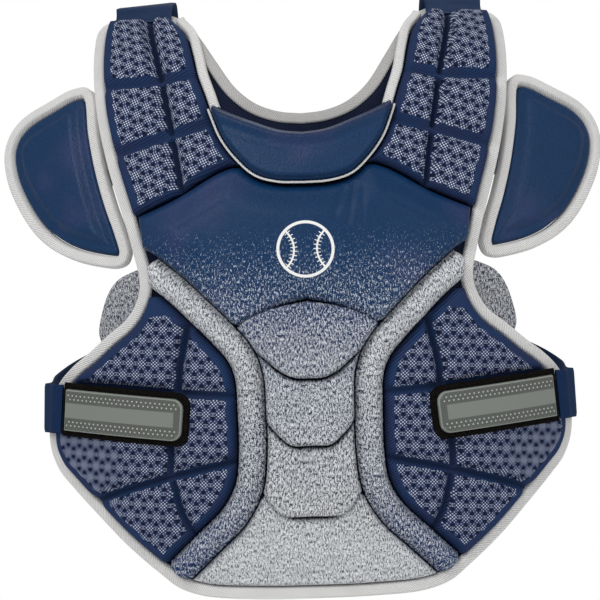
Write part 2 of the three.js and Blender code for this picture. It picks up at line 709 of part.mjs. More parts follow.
function liner() {
  const inset = BINDING_WALL + EDGE_PLAY;
  const side = sideways(sideEdge, inset, body);
  const neck = [[0, NECK_DEPTH + inset], ...sideways(neckline, inset, body).slice(1)].reverse();
  const corner = side.findIndex(([, down]) => down > LINER_FOOT.start * BODY_LENGTH);
  const hem = side.slice(corner);
  const atTop = side[0][1] + inset;
  const half = [backingRow([neck[0][0], atTop], [side[0][0] - inset, atTop])];
  neck.slice(1).forEach((point, i) => half.push(backingRow(point, side[i + 2])));
  let lowest = side[neck.length][1];
  side.slice(neck.length + 1, corner + 1).forEach((point) => {
    if (point[1] > lowest + ROW_STEP) {
      half.push(backingRow([0, point[1]], point));
      [, lowest] = point;
    }
  });
  const foot = half[half.length - 1].map(([across]) => across * LINER_FOOT.taper);
  half.push(foot.map((across) => [across, downAt(hem, across)]));
  const triangles = [];
  for (const mirror of [1, -1]) {
    const points = (height) => half.map((row) => row.map(([a, d]) => body.place(mirror * a, d, height)));
    addSheet(triangles, points(-LINER_THICKNESS), points(0), mirror, neck.length - 1);
  }
  return solidFrom(triangles);
}

// Points of one row of the backing, the last two as wide apart as a binding
function backingRow(inner, outer) {
  const border = 1 - (BINDING_WIDTH + EDGE_PLAY) / stationWidth({ from: inner, to: outer });
  const shares = [0, 0.25, 0.5, 0.75, 1].map((share) => share * border);
  return [...shares, 1].map((share) => mixPoint(inner, outer, share));
}

// Faces of half a backing: both skins and the walls along its edges, without one on the centre line
function addSheet(triangles, low, high, mirror, neckRows) {
  const quad = (a, b, c, d) => {
    const corners = mirror > 0 ? [a, b, c, d] : [d, c, b, a];
    triangles.push([corners[0], corners[1], corners[2]], [corners[0], corners[2], corners[3]]);
  };
  const rows = high.length - 1;
  const lanes = high[0].length - 1;
  for (let i = 0; i < rows; i += 1) {
    for (let j = 0; j < lanes; j += 1) {
      quad(high[i][j], high[i + 1][j], high[i + 1][j + 1], high[i][j + 1]);
      quad(low[i][j], low[i][j + 1], low[i + 1][j + 1], low[i + 1][j]);
    }
    if (i < neckRows) {
      quad(low[i][0], low[i + 1][0], high[i + 1][0], high[i][0]);
    }
    quad(high[i][lanes], high[i + 1][lanes], low[i + 1][lanes], low[i][lanes]);
  }
  for (let j = 0; j < lanes; j += 1) {
    quad(high[0][j], high[0][j + 1], low[0][j + 1], low[0][j]);
    quad(low[rows][j], low[rows][j + 1], high[rows][j + 1], high[rows][j]);
  }
}

// Section of a binding wrapped over the backing's edge: inset from the edge and height
function wrapSection(crown) {
  const back = -LINER_THICKNESS - FOLD_PLAY;
  return [
    [BINDING_WIDTH, FABRIC_GAP],
    [BINDING_WIDTH, mix(FABRIC_GAP, crown, 0.7)],
    [0.5 * BINDING_WIDTH, crown],
    [0, 0.3 * crown],
    [0.06 * BINDING_WIDTH, back - BINDING_WALL],
    [BINDING_WIDTH, back - BINDING_WALL],
    [BINDING_WIDTH, back],
    [BINDING_WALL, back],
    [BINDING_WALL, FABRIC_GAP],
  ];
}

// Section of a binding that closes a pad's own edge
function rimSection(low, crown) {
  return [
    [BINDING_WIDTH, low],
    [BINDING_WIDTH, 0.7 * crown],
    [0.5 * BINDING_WIDTH, crown],
    [0.1 * BINDING_WIDTH, 0.5 * crown],
    [0, mix(low, crown, 0.3)],
    [0.12 * BINDING_WIDTH, low],
  ];
}

// Loops of a section carried along a pattern line
function bindingLoops(line, sections, sheet, closed) {
  const loops = line.map(() => []);
  sections[0].forEach((_, k) => {
    const insets = new Map();
    line.forEach((_point, i) => {
      const [inset, height] = sections[i][k];
      if (!insets.has(inset)) {
        insets.set(inset, sideways(line, inset, sheet, closed));
      }
      const [across, down] = insets.get(inset)[i];
      loops[i].push(sheet.place(across, down, height));
    });
  });
  return loops;
}

// It lies flat round the neck and over the shoulder top, where other pieces lie over it
function edgeBinding() {
  const otherHalf = halfEdge.slice(1, -1).reverse().map(([across, down]) => [-across, down]);
  const ring = [...halfEdge, ...otherHalf];
  const sections = ring.map(([, down], i) => {
    const onNeck = Math.min(i, ring.length - i) < neckline.length;
    const flat = onNeck || down < SHOULDER_PAD_TOP;
    return wrapSection(flat ? NECK_BINDING_CROWN : BINDING_CROWN);
  });
  return sweep(bindingLoops(ring, sections, body, true), true);
}

// Binding on the neck side of a shoulder pad, over the backing and its own binding
function padEdgeBinding() {
  const low = NECK_BINDING_CROWN + LAYER_GAP;
  const seam = sideways(throatSeam, SEAM_GAP / 2, body);
  const end = collarTip - 2 * SEAM_GAP;
  const line = seam.filter(([, down]) => down > SHOULDER_PAD_TOP && down < end);
  const outer = sideways(line, BINDING_WIDTH, body);
  const section = rimSection(low, low + BINDING_CROWN);
  return sweep(bindingLoops([...outer].reverse(), outer.map(() => section), body, false), false);
}

// Round cord between chest and collar, just over the chest's border
function collarPiping() {
  const radius = PIPING_WIDTH / 2;
  const seam = sideways(throatSeam, -radius, body).filter(([, down]) => down > collarTip);
  const line = [...seam.slice(0, -1).map(([across, down]) => [-across, down]), ...seam.reverse()];
  const chestSide = mix(CHEST_EDGE, CHEST_THICKNESS, PIPING_WIDTH / PAD_ROLL);
  const height = LAYER_GAP + chestSide + LAYER_GAP + radius;
  const loops = line.map(([across, down], i) => {
    const before = line[Math.max(i - 1, 0)];
    const after = line[Math.min(i + 1, line.length - 1)];
    const square = new THREE.Vector2(after[1] - before[1], before[0] - after[0]).normalize();
    return Array.from({ length: 6 }, (_, k) => {
      const angle = (k / 6) * 2 * Math.PI;
      const out = radius * Math.cos(angle);
      const up = radius * Math.sin(angle);
      return body.place(across + square.x * out, down + square.y * out, height + up);
    });
  });
  return sweep(loops, false);
}

function wing() {
  const base = -LINER_THICKNESS - FOLD_PLAY - BINDING_WALL - FABRIC_GAP - WING_THICKNESS;
  const lanes = [0, 0.35, 0.7, 1].map((at) => ({ at, rise: 1 }));
  const stations = WING_ROWS.map((row) => ({
    from: [row.hidden * ARMPIT_HALF_GIRTH, row.down * BODY_LENGTH],
    to: [row.free * ARMPIT_HALF_GIRTH, row.down * BODY_LENGTH],
    rise: 1,
    lanes,
  }));
  return pad(stations, { base, thickness: WING_THICKNESS });
}

// Arm caps

function armCap() {
  const inner = sideways(capEdge, BINDING_WIDTH + SEAM_GAP, capSheet, true);
  const downs = inner.map(([, down]) => down);
  const top = downs.indexOf(Math.min(...downs));
  const foot = downs.indexOf(Math.max(...downs));
  const outerRail = inner.slice(top, foot + 1);
  const innerRail = [...inner.slice(foot), ...inner.slice(0, top + 1)].reverse();
  const [first, last] = [inner[top][1], inner[foot][1]];
  const stations = [0.04, 0.1, 0.24, 0.4, 0.56, 0.72, 0.88, 0.96].map((share, i, all) => {
    const down = mix(first, last, share);
    const from = [acrossAt(innerRail, down), down];
    const to = [acrossAt(outerRail, down), down];
    const lanes = paddedLanes(stationWidth({ from, to }), { fill: 2 });
    return { from, to, rise: i === 0 || i === all.length - 1 ? 0 : 1, lanes };
  });
  return pad(stations, { sheet: capSheet, base: -LINER_THICKNESS, thickness: CAP_THICKNESS });
}

function armCapBinding() {
  const section = rimSection(-LINER_THICKNESS, BINDING_CROWN);
  return sweep(bindingLoops(capEdge, capEdge.map(() => section), capSheet, true), true);
}

// Strip behind the edge of the body that holds a cap
function armCapTab() {
  const at = (sheet, across, low) => {
    const height = low - SEAM_GAP - STRAP_THICKNESS / 2;
    const above = sheet.place(across, CAP_TAB_DOWN - 1, height);
    return {
      point: sheet.place(across, CAP_TAB_DOWN, height),
      across: sheet.place(across, CAP_TAB_DOWN + 1, height).sub(above),
    };
  };
  const bodyRear = -LINER_THICKNESS - FOLD_PLAY - BINDING_WALL;
  const edge = acrossAt(sideEdge, CAP_TAB_DOWN);
  const underBody = [1, 0.72, 0.44].map((share) => at(body, edge - share * CAP_TAB_UNDER, bodyRear));
  const underCap = [0, 0.44, 1].map((share) => (
    at(capSheet, edge - CAP_HINGE + share * CAP_TAB_REACH, -LINER_THICKNESS)
  ));
  return ribbon([...underBody, ...underCap], CAP_TAB_WIDTH, STRAP_THICKNESS);
}

// Fastening

// Plate that lies on the sheet along the tab's line: rows along its length with a half width each
function tabPlate(rows, base, thickness) {
  const [cos, sin] = [Math.cos(TAB_TILT), Math.sin(TAB_TILT)];
  const grid = (height) => rows.map(({ along, half }) => [-1, -0.34, 0.34, 1].map((share) => {
    const offset = share * half;
    const across = TAB_ACROSS + along * cos + offset * sin;
    const down = TAB_DOWN - along * sin + offset * cos;
    return body.place(across, down, height);
  }));
  return slab(grid(base), grid(base + thickness));
}

// Rows of a plate with round corners at its inner end
function tabRows(length, width) {
  const round = [0, 0.3, 1].map((share) => {
    const angle = share * Math.PI / 2;
    return {
      along: -length / 2 + TAB_CORNER * (1 - Math.cos(angle)),
      half: width / 2 - TAB_CORNER * (1 - Math.sin(angle)),
    };
  });
  const straight = Array.from({ length: 5 }, (_, i) => ({
    along: mix(-length / 2 + TAB_CORNER, length / 2, (i + 1) / 5),
    half: width / 2,
  }));
  return [...round, ...straight];
}

const patchBase = LAYER_GAP + SIDE_PAD_THICKNESS + LAYER_GAP;
const tabBase = patchBase + PATCH_THICKNESS + FABRIC_GAP;

function hookPatch() {
  const rows = tabRows(TAB_LENGTH + 2 * PATCH_MARGIN, TAB_WIDTH + 2 * PATCH_MARGIN);
  return tabPlate(rows, patchBase, PATCH_THICKNESS);
}

function rubberTab() {
  return tabPlate(tabRows(TAB_LENGTH, TAB_WIDTH), tabBase, TAB_THICKNESS);
}

const backFace = TORSO_DEPTH / 2;

// From the patch's outer end round the flank and across the back to the plate
function sideStrap() {
  const start = TAB_LENGTH / 2 + PATCH_MARGIN + FABRIC_GAP;
  const across = TAB_ACROSS + start * Math.cos(TAB_TILT);
  const down = TAB_DOWN - start * Math.sin(TAB_TILT);
  const edge = acrossAt(sideEdge, down);
  const clear = STRAP_THICKNESS / 2 + LAYER_GAP;
  const overPatch = patchBase + PATCH_THICKNESS / 2;
  const round = edge + clear + 1.5 * BINDING_WALL;
  const wrapped = [
    [across, overPatch],
    [edge - BINDING_WIDTH - SEAM_GAP - PAD_ROLL / 2, overPatch],
    [edge - 0.8 * BINDING_WIDTH, 0.7 * overPatch],
    [edge - 0.3 * BINDING_WIDTH, BINDING_CROWN + 2 * clear],
    [round, BINDING_CROWN],
    [round + SEAM_GAP, -LINER_THICKNESS],
  ].map(([a, height]) => body.place(a, down, height));
  const reach = wrapped[wrapped.length - 1];
  const rear = backFace + clear;
  const sewn = BACK_PAD_TOP - SIDE_STRAP_SEW * BACK_PAD_HEIGHT;
  const end = new THREE.Vector3(BACK_PAD_WIDTH / 2 - BACK_PAD_CORNER, rear, sewn);
  const behind = STRAP_ROUND.map(({ side, depth, rise }) => (
    new THREE.Vector3(side * reach.x, mix(reach.y, rear, depth), mix(reach.z, sewn, rise))
  ));
  const onPlate = new THREE.Vector3(BACK_PAD_WIDTH / 2 + BACK_PAD_CORNER / 3, rear, sewn);
  const curve = new THREE.CatmullRomCurve3([...wrapped, ...behind, onPlate, end], false, 'centripetal');
  const besidePatch = body.place(across - Math.sin(TAB_TILT), down - Math.cos(TAB_TILT), overPatch);
  const atPatch = besidePatch.sub(wrapped[0]);
  const upright = new THREE.Vector3(0, 0, 1);
  const route = curve.getPoints(26).map((point, i) => ({
    point,
    across: atPatch.clone().lerp(upright, Math.min(i / 4, 1)),
  }));
  return ribbon(route, SIDE_STRAP_WIDTH, STRAP_THICKNESS);
}

// Over the shoulder from the pad's top edge and down the back to the plate
function shoulderStrap() {
  const middle = SHOULDER_INNER_GIRTH + SHOULDER_STRAP_WIDTH / 2 + SEAM_GAP;
  const height = NECK_BINDING_CROWN + LAYER_GAP + STRAP_THICKNESS / 2;
  const onBody = (down) => ({
    point: body.place(middle, down, height),
    across: body.place(middle + 1, down, height).sub(body.place(middle - 1, down, height)),
  });
  const start = SHOULDER_PAD_TOP - 1.5 * SEAM_GAP;
  const front = [start, mix(start, SHOULDER_STRAP_TURN, 0.5), SHOULDER_STRAP_TURN].map(onBody);
  const top = front[2];
  const lift = top.point.z - SHOULDER_TOP - sideProfile(SHOULDER_STRAP_TURN).up;
  const rear = backFace + LAYER_GAP + STRAP_THICKNESS / 2;
  const level = new THREE.Vector3(1, 0, 0);
  const toRear = SHOULDER_RADIUS * (Math.PI / 2 - SHOULDER_LEAN) + NAPE_RADIUS * Math.PI / 2;
  const rearBack = sideProfile(-toRear).back;
  const over = Array.from({ length: 12 }, (_, i) => {
    const side = sideProfile(-toRear * ((i + 1) / 12));
    const back = mix(top.point.y, rear, side.back / rearBack);
    return {
      point: new THREE.Vector3(top.point.x, back, SHOULDER_TOP + side.up + lift),
      across: top.across.clone().lerp(level, Math.min((i + 1) / 5, 1)),
    };
  });
  const corner = over[over.length - 1].point;
  const sewn = BACK_PAD_TOP - SHOULDER_STRAP_SEW * BACK_PAD_HEIGHT;
  const end = new THREE.Vector3(BACK_PAD_WIDTH / 2 - BACK_PAD_CORNER, rear, sewn);
  const fall = end.clone().sub(corner);
  const slant = new THREE.Vector3(-fall.z, 0, fall.x).normalize();
  const behind = STRAP_FALL.map(({ side, down, turn }) => ({
    point: new THREE.Vector3(mix(corner.x, end.x, side), rear, mix(corner.z, end.z, down)),
    across: level.clone().lerp(slant, turn),
  }));
  return ribbon([...front, ...over, ...behind], SHOULDER_STRAP_WIDTH, STRAP_THICKNESS);
}

function backPad() {
  const [w, h, r] = [BACK_PAD_WIDTH, BACK_PAD_HEIGHT, BACK_PAD_CORNER];
  const outline = new THREE.Shape();
  outline.moveTo(-w / 2 + r, -h);
  outline.lineTo(w / 2 - r, -h);
  outline.quadraticCurveTo(w / 2, -h, w / 2, -h + r);
  outline.lineTo(w / 2, -r);
  outline.quadraticCurveTo(w / 2, 0, w / 2 - r, 0);
  outline.lineTo(-w / 2 + r, 0);
  outline.quadraticCurveTo(-w / 2, 0, -w / 2, -r);
  outline.lineTo(-w / 2, -h + r);
  outline.quadraticCurveTo(-w / 2, -h, -w / 2 + r, -h);
  const geometry = new THREE.ExtrudeGeometry(outline, {
    depth: BACK_PAD_THICKNESS,
    bevelEnabled: false,
    curveSegments: 5,
  });
  geometry.rotateX(Math.PI / 2);
  geometry.translate(0, backFace, BACK_PAD_TOP);
  return geometry;
}

// Assembly

const protector = new THREE.Group();

function addPiece(name, geometry, finish) {
  const mesh = new THREE.Mesh(geometry, new THREE.MeshStandardMaterial(COLOURS[finish]));
  mesh.name = name;
  protector.add(mesh);
}

// A piece on the right of the part (+X) and its mirror image
function addPair(name, geometry, finish) {
  addPiece(`${name}_right`, geometry, finish);
  addPiece(`${name}_left`, mirrored(geometry), finish);
}

addPiece('liner', liner(), 'lining');
addPiece('edge_binding', edgeBinding(), 'white_binding');
addPiece('collar', collar(), 'navy_leather');
addPiece('collar_piping', collarPiping(), 'white_binding');
addPiece('chest_plate', chestPlate(), 'navy_leather');
SCALES.forEach(({ name }, i) => addPiece(name, scalePad(i), 'heather'));
addPiece('apron', apron(), 'heather');
addPiece('back_pad', backPad(), 'lining');
addPair('shoulder_pad', shoulderPad(), 'quilted_mesh');
addPair('pad_edge_binding', padEdgeBinding(), 'white_binding');
addPair('side_pad', sidePad(), 'quilted_mesh');
addPair('flex_band', flexBand(), 'heather');
addPair('wing', wing(), 'heather');
addPair('arm_cap', armCap(), 'navy_leather');
addPair('arm_cap_binding', armCapBinding(), 'white_binding');
addPair('arm_cap_tab', armCapTab(), 'webbing');
addPair('hook_patch', hookPatch(), 'hook_fabric');
addPair('rubber_tab', rubberTab(), 'rubber');
addPair('side_strap', sideStrap(), 'webbing');
addPair('shoulder_strap', shoulderStrap(), 'webbing');

export default protector;
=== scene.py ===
"""Softball chest protector in its worn form: padded front, arm caps, bound edges and plain back straps.

The front is drawn as a flat pattern in millimetres: across is the girth from the centre line, down is
the length from the shoulder's top, and heights are measured off the backing's outer face. One curved
sheet turns the pattern into space. Pads are grids of that pattern whose height grows with the distance
from their seams and grooves.
"""
import math

import bmesh
import bpy
import numpy as np
from bpy.props import FloatProperty, FloatVectorProperty, PointerProperty
from mathutils import Matrix, Vector


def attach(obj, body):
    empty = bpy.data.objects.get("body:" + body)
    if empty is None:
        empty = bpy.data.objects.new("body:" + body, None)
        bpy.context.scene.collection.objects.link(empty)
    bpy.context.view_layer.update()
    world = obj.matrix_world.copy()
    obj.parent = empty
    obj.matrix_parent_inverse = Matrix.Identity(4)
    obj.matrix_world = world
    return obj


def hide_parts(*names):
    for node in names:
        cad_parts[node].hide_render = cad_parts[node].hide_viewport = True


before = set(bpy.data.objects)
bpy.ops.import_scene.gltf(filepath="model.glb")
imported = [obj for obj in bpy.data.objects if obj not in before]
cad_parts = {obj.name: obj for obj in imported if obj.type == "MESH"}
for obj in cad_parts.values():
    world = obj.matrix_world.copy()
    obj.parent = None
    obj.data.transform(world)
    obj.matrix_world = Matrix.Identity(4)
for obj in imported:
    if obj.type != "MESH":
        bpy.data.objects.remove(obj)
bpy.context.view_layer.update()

bl_info = {
    "name": "Softball chest protector",
    "version": (1, 0, 0),
    "blender": (4, 5, 0),
    "location": "View3D > Sidebar > Protector",
    "description": "Builds a padded softball chest protector piece by piece",
    "category": "Mesh",
}

MM = 0.001

# Worn form
TORSO_DEPTH = 235.0
SHOULDER_TOP = 5.0
GIRTH_RADIUS = 320.0
SHOULDER_LEAN = math.radians(68)
CHEST_LEAN = math.radians(20)
SHOULDER_RADIUS = 140.0
CHEST_RADIUS = 420.0
BELLY_RADIUS = 1400.0
NAPE_RADIUS = 54.0

# Layers of the front
BACKING = 3.0
PAD_BASE = 0.8
CAP_BASE = -3.0
WRAP_BACK = -BACKING - 1.3 - 1.2
PIPING_HEIGHT = 13.2

# Arm cap's hinge and the width of its strip, and how far beside the band's line the middle pads end
CAP_HINGE = 150.0
CAP_STRIP = 44.0
CORE_SIDE = 11.4
BACK_FACE = TORSO_DEPTH / 2
SIDES = (("right", 1), ("left", -1))

# Places down the front: top of the shoulder pads, ends of the side pads, and where flank turns to hem
PAD_TOP = 26.0
SIDE_PAD_FROM, SIDE_PAD_TO = 262.0, 466.0
FLANK_END = 480.0
HEM_CORNER = 0.965 * 496

# Plate at the back: width and height, where its top lies, half its thickness, and where the straps end
PLATE_SIZE = (124.0, 160.0)
PLATE_TOP = -125.0
PLATE_HALF = 3.0
STRAP_END = 38.0

# Flat pattern lines, in (across, down)
SIDE_EDGE = (
    (151, 8.5), (159.5, 18), (165.5, 33), (168, 56), (168, 85), (164.5, 121), (156, 160), (143, 201),
    (135, 229), (130.5, 248), (131.5, 261), (141, 277), (160, 291), (176, 303), (190, 312), (205, 325),
    (214.5, 340), (218, 360), (216.5, 379), (208, 396), (196, 408), (171.5, 431), (147, 454), (120, 476),
    (105, 487), (84, 493.5), (45, 496), (0, 496.5),
)
NECKLINE = ((0, 123), (17, 121), (34.5, 114), (50, 100), (65, 74), (78, 46), (90, 20), (101, 8.4))
THROAT_SEAM = (
    (100, 18), (96, 32), (88, 47), (83, 69), (79, 90), (73, 109), (67, 128), (60, 146), (49, 162),
    (35, 175), (19, 180), (0, 181),
)
COLLAR_TOP = ((0, 140.6), (16, 138.5), (36, 131), (54, 123), (69, 114.5))
YOKE_SEAM = ((54, 165.5), (63.5, 169), (75, 175), (94, 186), (112, 194), (129, 200.5))
BAND_LINE = (
    (121.5, 241), (100, 258), (83, 274), (66.5, 290.5), (52.5, 307), (46, 323.5), (44.5, 352), (44.5, 382),
    (48, 409), (60, 431), (81, 451.5), (105, 474),
)
CHEST_ARCH = ((0, 268), (19, 272.5), (37.5, 280), (51, 287))
SCALE_EDGES = (
    ((0, 328), (11, 327.5), (22, 322), (34.5, 307)),
    ((0, 379), (15, 378.5), (24, 371.5), (33.5, 361)),
    ((0, 433), (16, 432.5), (25, 425.5), (35, 414)),
)

# Stitched grooves: line, width, share of the pad's height taken away, plain cloth beside it, darkness of
# the shade painted into it
SHOULDER_GROOVES = (
    (((118.5, 30), (116.5, 48), (110, 82), (107.5, 93)), 4.0, 0.8, 2.6, 1),
    (((106, 102), (102, 124), (99.5, 137)), 4.0, 0.8, 2.6, 1),
    (((98, 146), (96, 159), (92.5, 183)), 4.0, 0.75, 2.6, 1),
    (((158, 98), (149, 97), (107, 95.5), (77, 90)), 5.0, 0.4, 5, 0.35),
    (((150, 154), (143, 152), (99, 140), (63, 130)), 5.0, 0.4, 5, 0.35),
)
SIDE_GROOVES = (
    (((90, 285), (93, 297), (97.5, 318), (99, 334)), 4.2, 0.7, 3.2, 0.9),
    (((206, 327), (150, 331), (96, 336), (54, 339)), 4.2, 0.5, 3.6, 0.6),
    (((190, 424), (156, 413), (108, 400), (54, 388)), 4.2, 0.6, 3.6, 0.8),
    (((102, 345), (106, 376), (107, 396)), 4.2, 0.6, 3.2, 0.7),
    (((105, 404), (100, 425), (90, 445)), 4.2, 0.6, 3.2, 0.8),
)

# Outlines of the arm cap and the wing, in (across, down)
CAP_OUTLINE = (
    (23, 93), (29.5, 85.5), (43, 86.5), (67, 97.5), (96, 112), (111, 126), (118, 144), (114, 167),
    (101, 190), (84, 210), (66, 223), (45, 232), (21, 237.5), (5, 239), (-3, 236), (-7, 227), (-2.5, 209),
    (5.5, 187), (13.5, 159), (19.5, 127.5),
)
WING_EDGE = ((139, 241), (155, 248), (164, 258), (171.5, 276), (174, 290), (170, 300), (164, 311))
WING_ROOT = ((117, 241), (114.5, 248), (114.5, 258), (120, 276), (130, 290), (143, 300), (150, 311))


# Sizes and colours that a user would change


def length(name, value, text):
    return FloatProperty(name=name, description=text, default=value * MM, min=0.0, unit="LENGTH")


def colour(name, code, text):
    """Colour property from a six digit code as seen on a screen"""
    parts = [int(code[i:i + 2], 16) / 255 for i in (0, 2, 4)]
    return FloatVectorProperty(
        name=name, description=text, default=[screen_to_linear(v) for v in parts], size=3, min=0, max=1,
        subtype="COLOR",
    )


def screen_to_linear(value):
    return value / 12.92 if value <= 0.04045 else ((value + 0.055) / 1.055) ** 2.4


class ProtectorPads(bpy.types.PropertyGroup):
    shoulder: length("Shoulder pads", 13, "Thickness of the quilted shoulder pads")
    side: length("Side pads", 13, "Thickness of the quilted side pads")
    chest: length("Chest", 17, "Thickness of the chest plate")
    collar: length("Collar", 21, "Thickness of the raised collar")
    band: length("Flex bands", 16, "Height of the ridges beside the middle")
    scale: length("Middle pads", 16, "Thickness of the upper one of the middle pads")
    apron: length("Apron", 9, "Thickness of the apron at the hem")
    cap: length("Arm caps", 9, "Thickness of the arm caps")
    wing: length("Wings", 4, "Thickness of the foam wings under the arms")


class ProtectorTrim(bpy.types.PropertyGroup):
    binding: length("Binding", 10, "Width of the binding on the edges")
    crown: length("Binding crown", 4.6, "Height of the binding over the backing")
    neck_crown: length("Neck binding crown", 1.8, "Height of the binding round the neck opening")
    piping: length("Piping", 1.8, "Diameter of the piping under the collar")
    strap: length("Side strap", 38, "Width of the elastic strap round the side")
    shoulder_strap: length("Shoulder strap", 48, "Width of the strap over the shoulder")
    webbing: length("Strap thickness", 2, "Thickness of the straps")
    tab: length("Tab length", 96, "Length of the rubber tab")
    tab_width: length("Tab width", 32, "Width of the rubber tab")


class ProtectorColours(bpy.types.PropertyGroup):
    leather: colour("Leather", "07355F", "Smooth navy of chest, collar and caps")
    leather_sheen: colour("Leather sheen", "39406E", "Violet sheen of the navy leather")
    mesh: colour("Mesh", "24325A", "Ground of the quilted mesh between its dots")
    mesh_border: colour("Mesh border", "143057", "Plain strips of the quilted pads")
    # Painted sheen: violet patches on the plain strips of the quilted pads, and the highlight on the
    # collar's lip
    painted_violet_sheen: colour("Mesh violet", "1F2A4E", "Violet cast of the plain strips")
    dots: colour("Dots", "E2EAF8", "Dots knitted into the mesh")
    heather: colour("Heather", "EEF0F2", "Light ground of the flecked fabric")
    fleck: colour("Fleck", "30353F", "Dark flecks on the lower pads")
    fleck_navy: colour("Navy fleck", "12305E", "Ground of the flecked fabric at the chest")
    wing: colour("Wing", "DADBDE", "Light flecks of the foam wings")
    binding: colour("Binding", "FBFAF8", "White twill binding")
    lining: colour("Lining", "161D33", "Dark mesh of the lining")
    webbing: colour("Webbing", "0C2A52", "Elastic of the straps")
    hook: colour("Hook", "0A0A09", "Hook fabric under the tabs")
    rubber: colour("Rubber", "5C605B", "Grey rubber of the tabs")
    rubber_light: colour("Light rubber", "8E948D", "Rim and middle strip of the tabs")


class ProtectorStudio(bpy.types.PropertyGroup):
    distance: length("Camera distance", 2500, "From the lens to the front of the chest")
    axis_height: length("Camera drop", 224.8, "How far under the origin the camera looks")
    view_width: length("View width", 454.2, "Width that the picture takes in at the chest")
    floor_drop: length("Floor drop", 615, "From the origin down to the floor")
    roll: FloatProperty(
        name="Roll", description="Turn of the camera about its own axis", default=math.radians(1.7),
        subtype="ANGLE",
    )
    key: FloatProperty(
        name="Key light", description="Strength of the main soft light", default=34.0, unit="POWER",
    )
    fill: FloatProperty(
        name="Fill light", description="Strength of the soft light at the side", default=12.0, unit="POWER",
    )
    air: FloatProperty(name="Surround", description="Strength of the white surround", default=0.42)


def pads():
    return bpy.context.scene.protector_pads


def trim():
    return bpy.context.scene.protector_trim


def tint(name):
    return (*getattr(bpy.context.scene.protector_colours, name), 1.0)


def mm(value):
    return value / MM


# Curved sheet


def side_profile(down):
    """Lean, depth and height along the front: arcs of the shoulder, chest and belly radius one after
    another, and over the shoulder to the back where down is negative"""
    down = np.asarray(down, float)
    arcs = [(SHOULDER_LEAN, CHEST_LEAN, SHOULDER_RADIUS), (CHEST_LEAN, 0.0, CHEST_RADIUS),
            (0.0, -math.pi / 2, BELLY_RADIUS)]
    over = [(SHOULDER_LEAN, math.pi / 2, SHOULDER_RADIUS), (math.pi / 2, math.pi, NAPE_RADIUS)]
    lean = np.full(down.shape, SHOULDER_LEAN)
    back = np.zeros(down.shape)
    up = np.zeros(down.shape)
    for side, table in ((down >= 0, arcs), (down < 0, over)):
        left = np.where(side, np.abs(down), 0.0)
        for start, end, radius in table:
            used = np.minimum(left, abs(end - start) * radius)
            to = start + np.sign(end - start) * used / radius
            back += np.where(side, radius * (math.cos(start) - np.cos(to)), 0.0)
            up += np.where(side, radius * (np.sin(to) - math.sin(start)), 0.0)
            lean = np.where(side & (used > 0), to, lean)
            left = left - used
        if table is over:
            up -= left
    return lean, back, up


UPRIGHT_AT = SHOULDER_RADIUS * (SHOULDER_LEAN - CHEST_LEAN) + CHEST_RADIUS * CHEST_LEAN
BELLY_BACK = float(side_profile(UPRIGHT_AT)[1])


class Sheet:
    """Side profile swept round an upright arc: across runs on the arc, down on the profile"""

    def __init__(self, x=0.0, y=-TORSO_DEPTH / 2, heading=0.0, radius=GIRTH_RADIUS, setback=0.0):
        self.start = (x, y)
        self.heading = heading
        self.radius = radius
        self.setback = setback

    def place(self, pattern, height=0.0):
        """Space point = arc point + profile point + height along the sheet's normal"""
        pattern = np.asarray(pattern, float)
        across, down = pattern[..., 0], pattern[..., 1]
        turn = self.heading + across / self.radius
        lean, back, up = side_profile(down)
        x = self.start[0] + self.radius * (np.sin(turn) - math.sin(self.heading))
        y = self.start[1] + back - BELLY_BACK + self.radius * (math.cos(self.heading) - np.cos(turn))
        normal = np.cross(
            np.stack([np.cos(turn), np.sin(turn), np.zeros_like(turn)], -1),
            np.stack([np.zeros_like(lean), np.sin(lean), np.cos(lean)], -1),
        )
        normal /= np.linalg.norm(normal, axis=-1, keepdims=True)
        lift = np.broadcast_to(np.asarray(height, float) - self.setback, across.shape)
        return np.stack([x, y, SHOULDER_TOP + up], -1) + normal * lift[..., None]

    def skew(self, pattern):
        """Cosine of the angle between the across and down directions"""
        turn = self.heading + pattern[..., 0] / self.radius
        return -np.sin(turn) * np.sin(side_profile(pattern[..., 1])[0])


BODY = Sheet()
CAP_SHEET = Sheet(
    GIRTH_RADIUS * math.sin(CAP_HINGE / GIRTH_RADIUS),
    -TORSO_DEPTH / 2 + GIRTH_RADIUS * (1 - math.cos(CAP_HINGE / GIRTH_RADIUS)),
    math.radians(24), 350.0, 11.0,
)


# Pattern lines


def smooth(points, step=2.0, closed=False):
    """Centripetal Catmull-Rom curve through the points, then points at even steps along it"""
    p = np.asarray(points, float)
    if closed:
        p = np.vstack([p[-1], p, p[:2]])
    else:
        p = np.vstack([2 * p[0] - p[1], p, 2 * p[-1] - p[-2]])
    t = np.concatenate([[0], np.cumsum(np.sqrt(np.linalg.norm(np.diff(p, axis=0), axis=1)))])
    share = np.linspace(0, 1, 12, endpoint=False)
    spans = []

    def between(a, b, at, low, high):
        return (a * (high - at)[:, None] + b * (at - low)[:, None]) / (high - low)

    for i in range(1, len(p) - 2):
        at = t[i] + share * (t[i + 1] - t[i])
        a1, a2, a3 = (between(p[k], p[k + 1], at, t[k], t[k + 1]) for k in (i - 1, i, i + 1))
        b1 = between(a1, a2, at, t[i - 1], t[i + 1])
        b2 = between(a2, a3, at, t[i], t[i + 2])
        spans.append(between(b1, b2, at, t[i], t[i + 1]))
    line = np.vstack([*spans, p[-2]])
    return even(line, step=step)


def lengths(line):
    """Length from a line's start to each of its points"""
    return np.concatenate([[0], np.cumsum(np.linalg.norm(np.diff(line, axis=0), axis=1))])


def even(line, count=None, step=2.0):
    """The same line with evenly spaced points"""
    line = np.asarray(line, float)
    far = lengths(line)
    count = count or max(int(round(far[-1] / step)), 2) + 1
    at = np.linspace(0, far[-1], count)
    return np.stack([np.interp(at, far, line[:, k]) for k in range(line.shape[1])], -1)


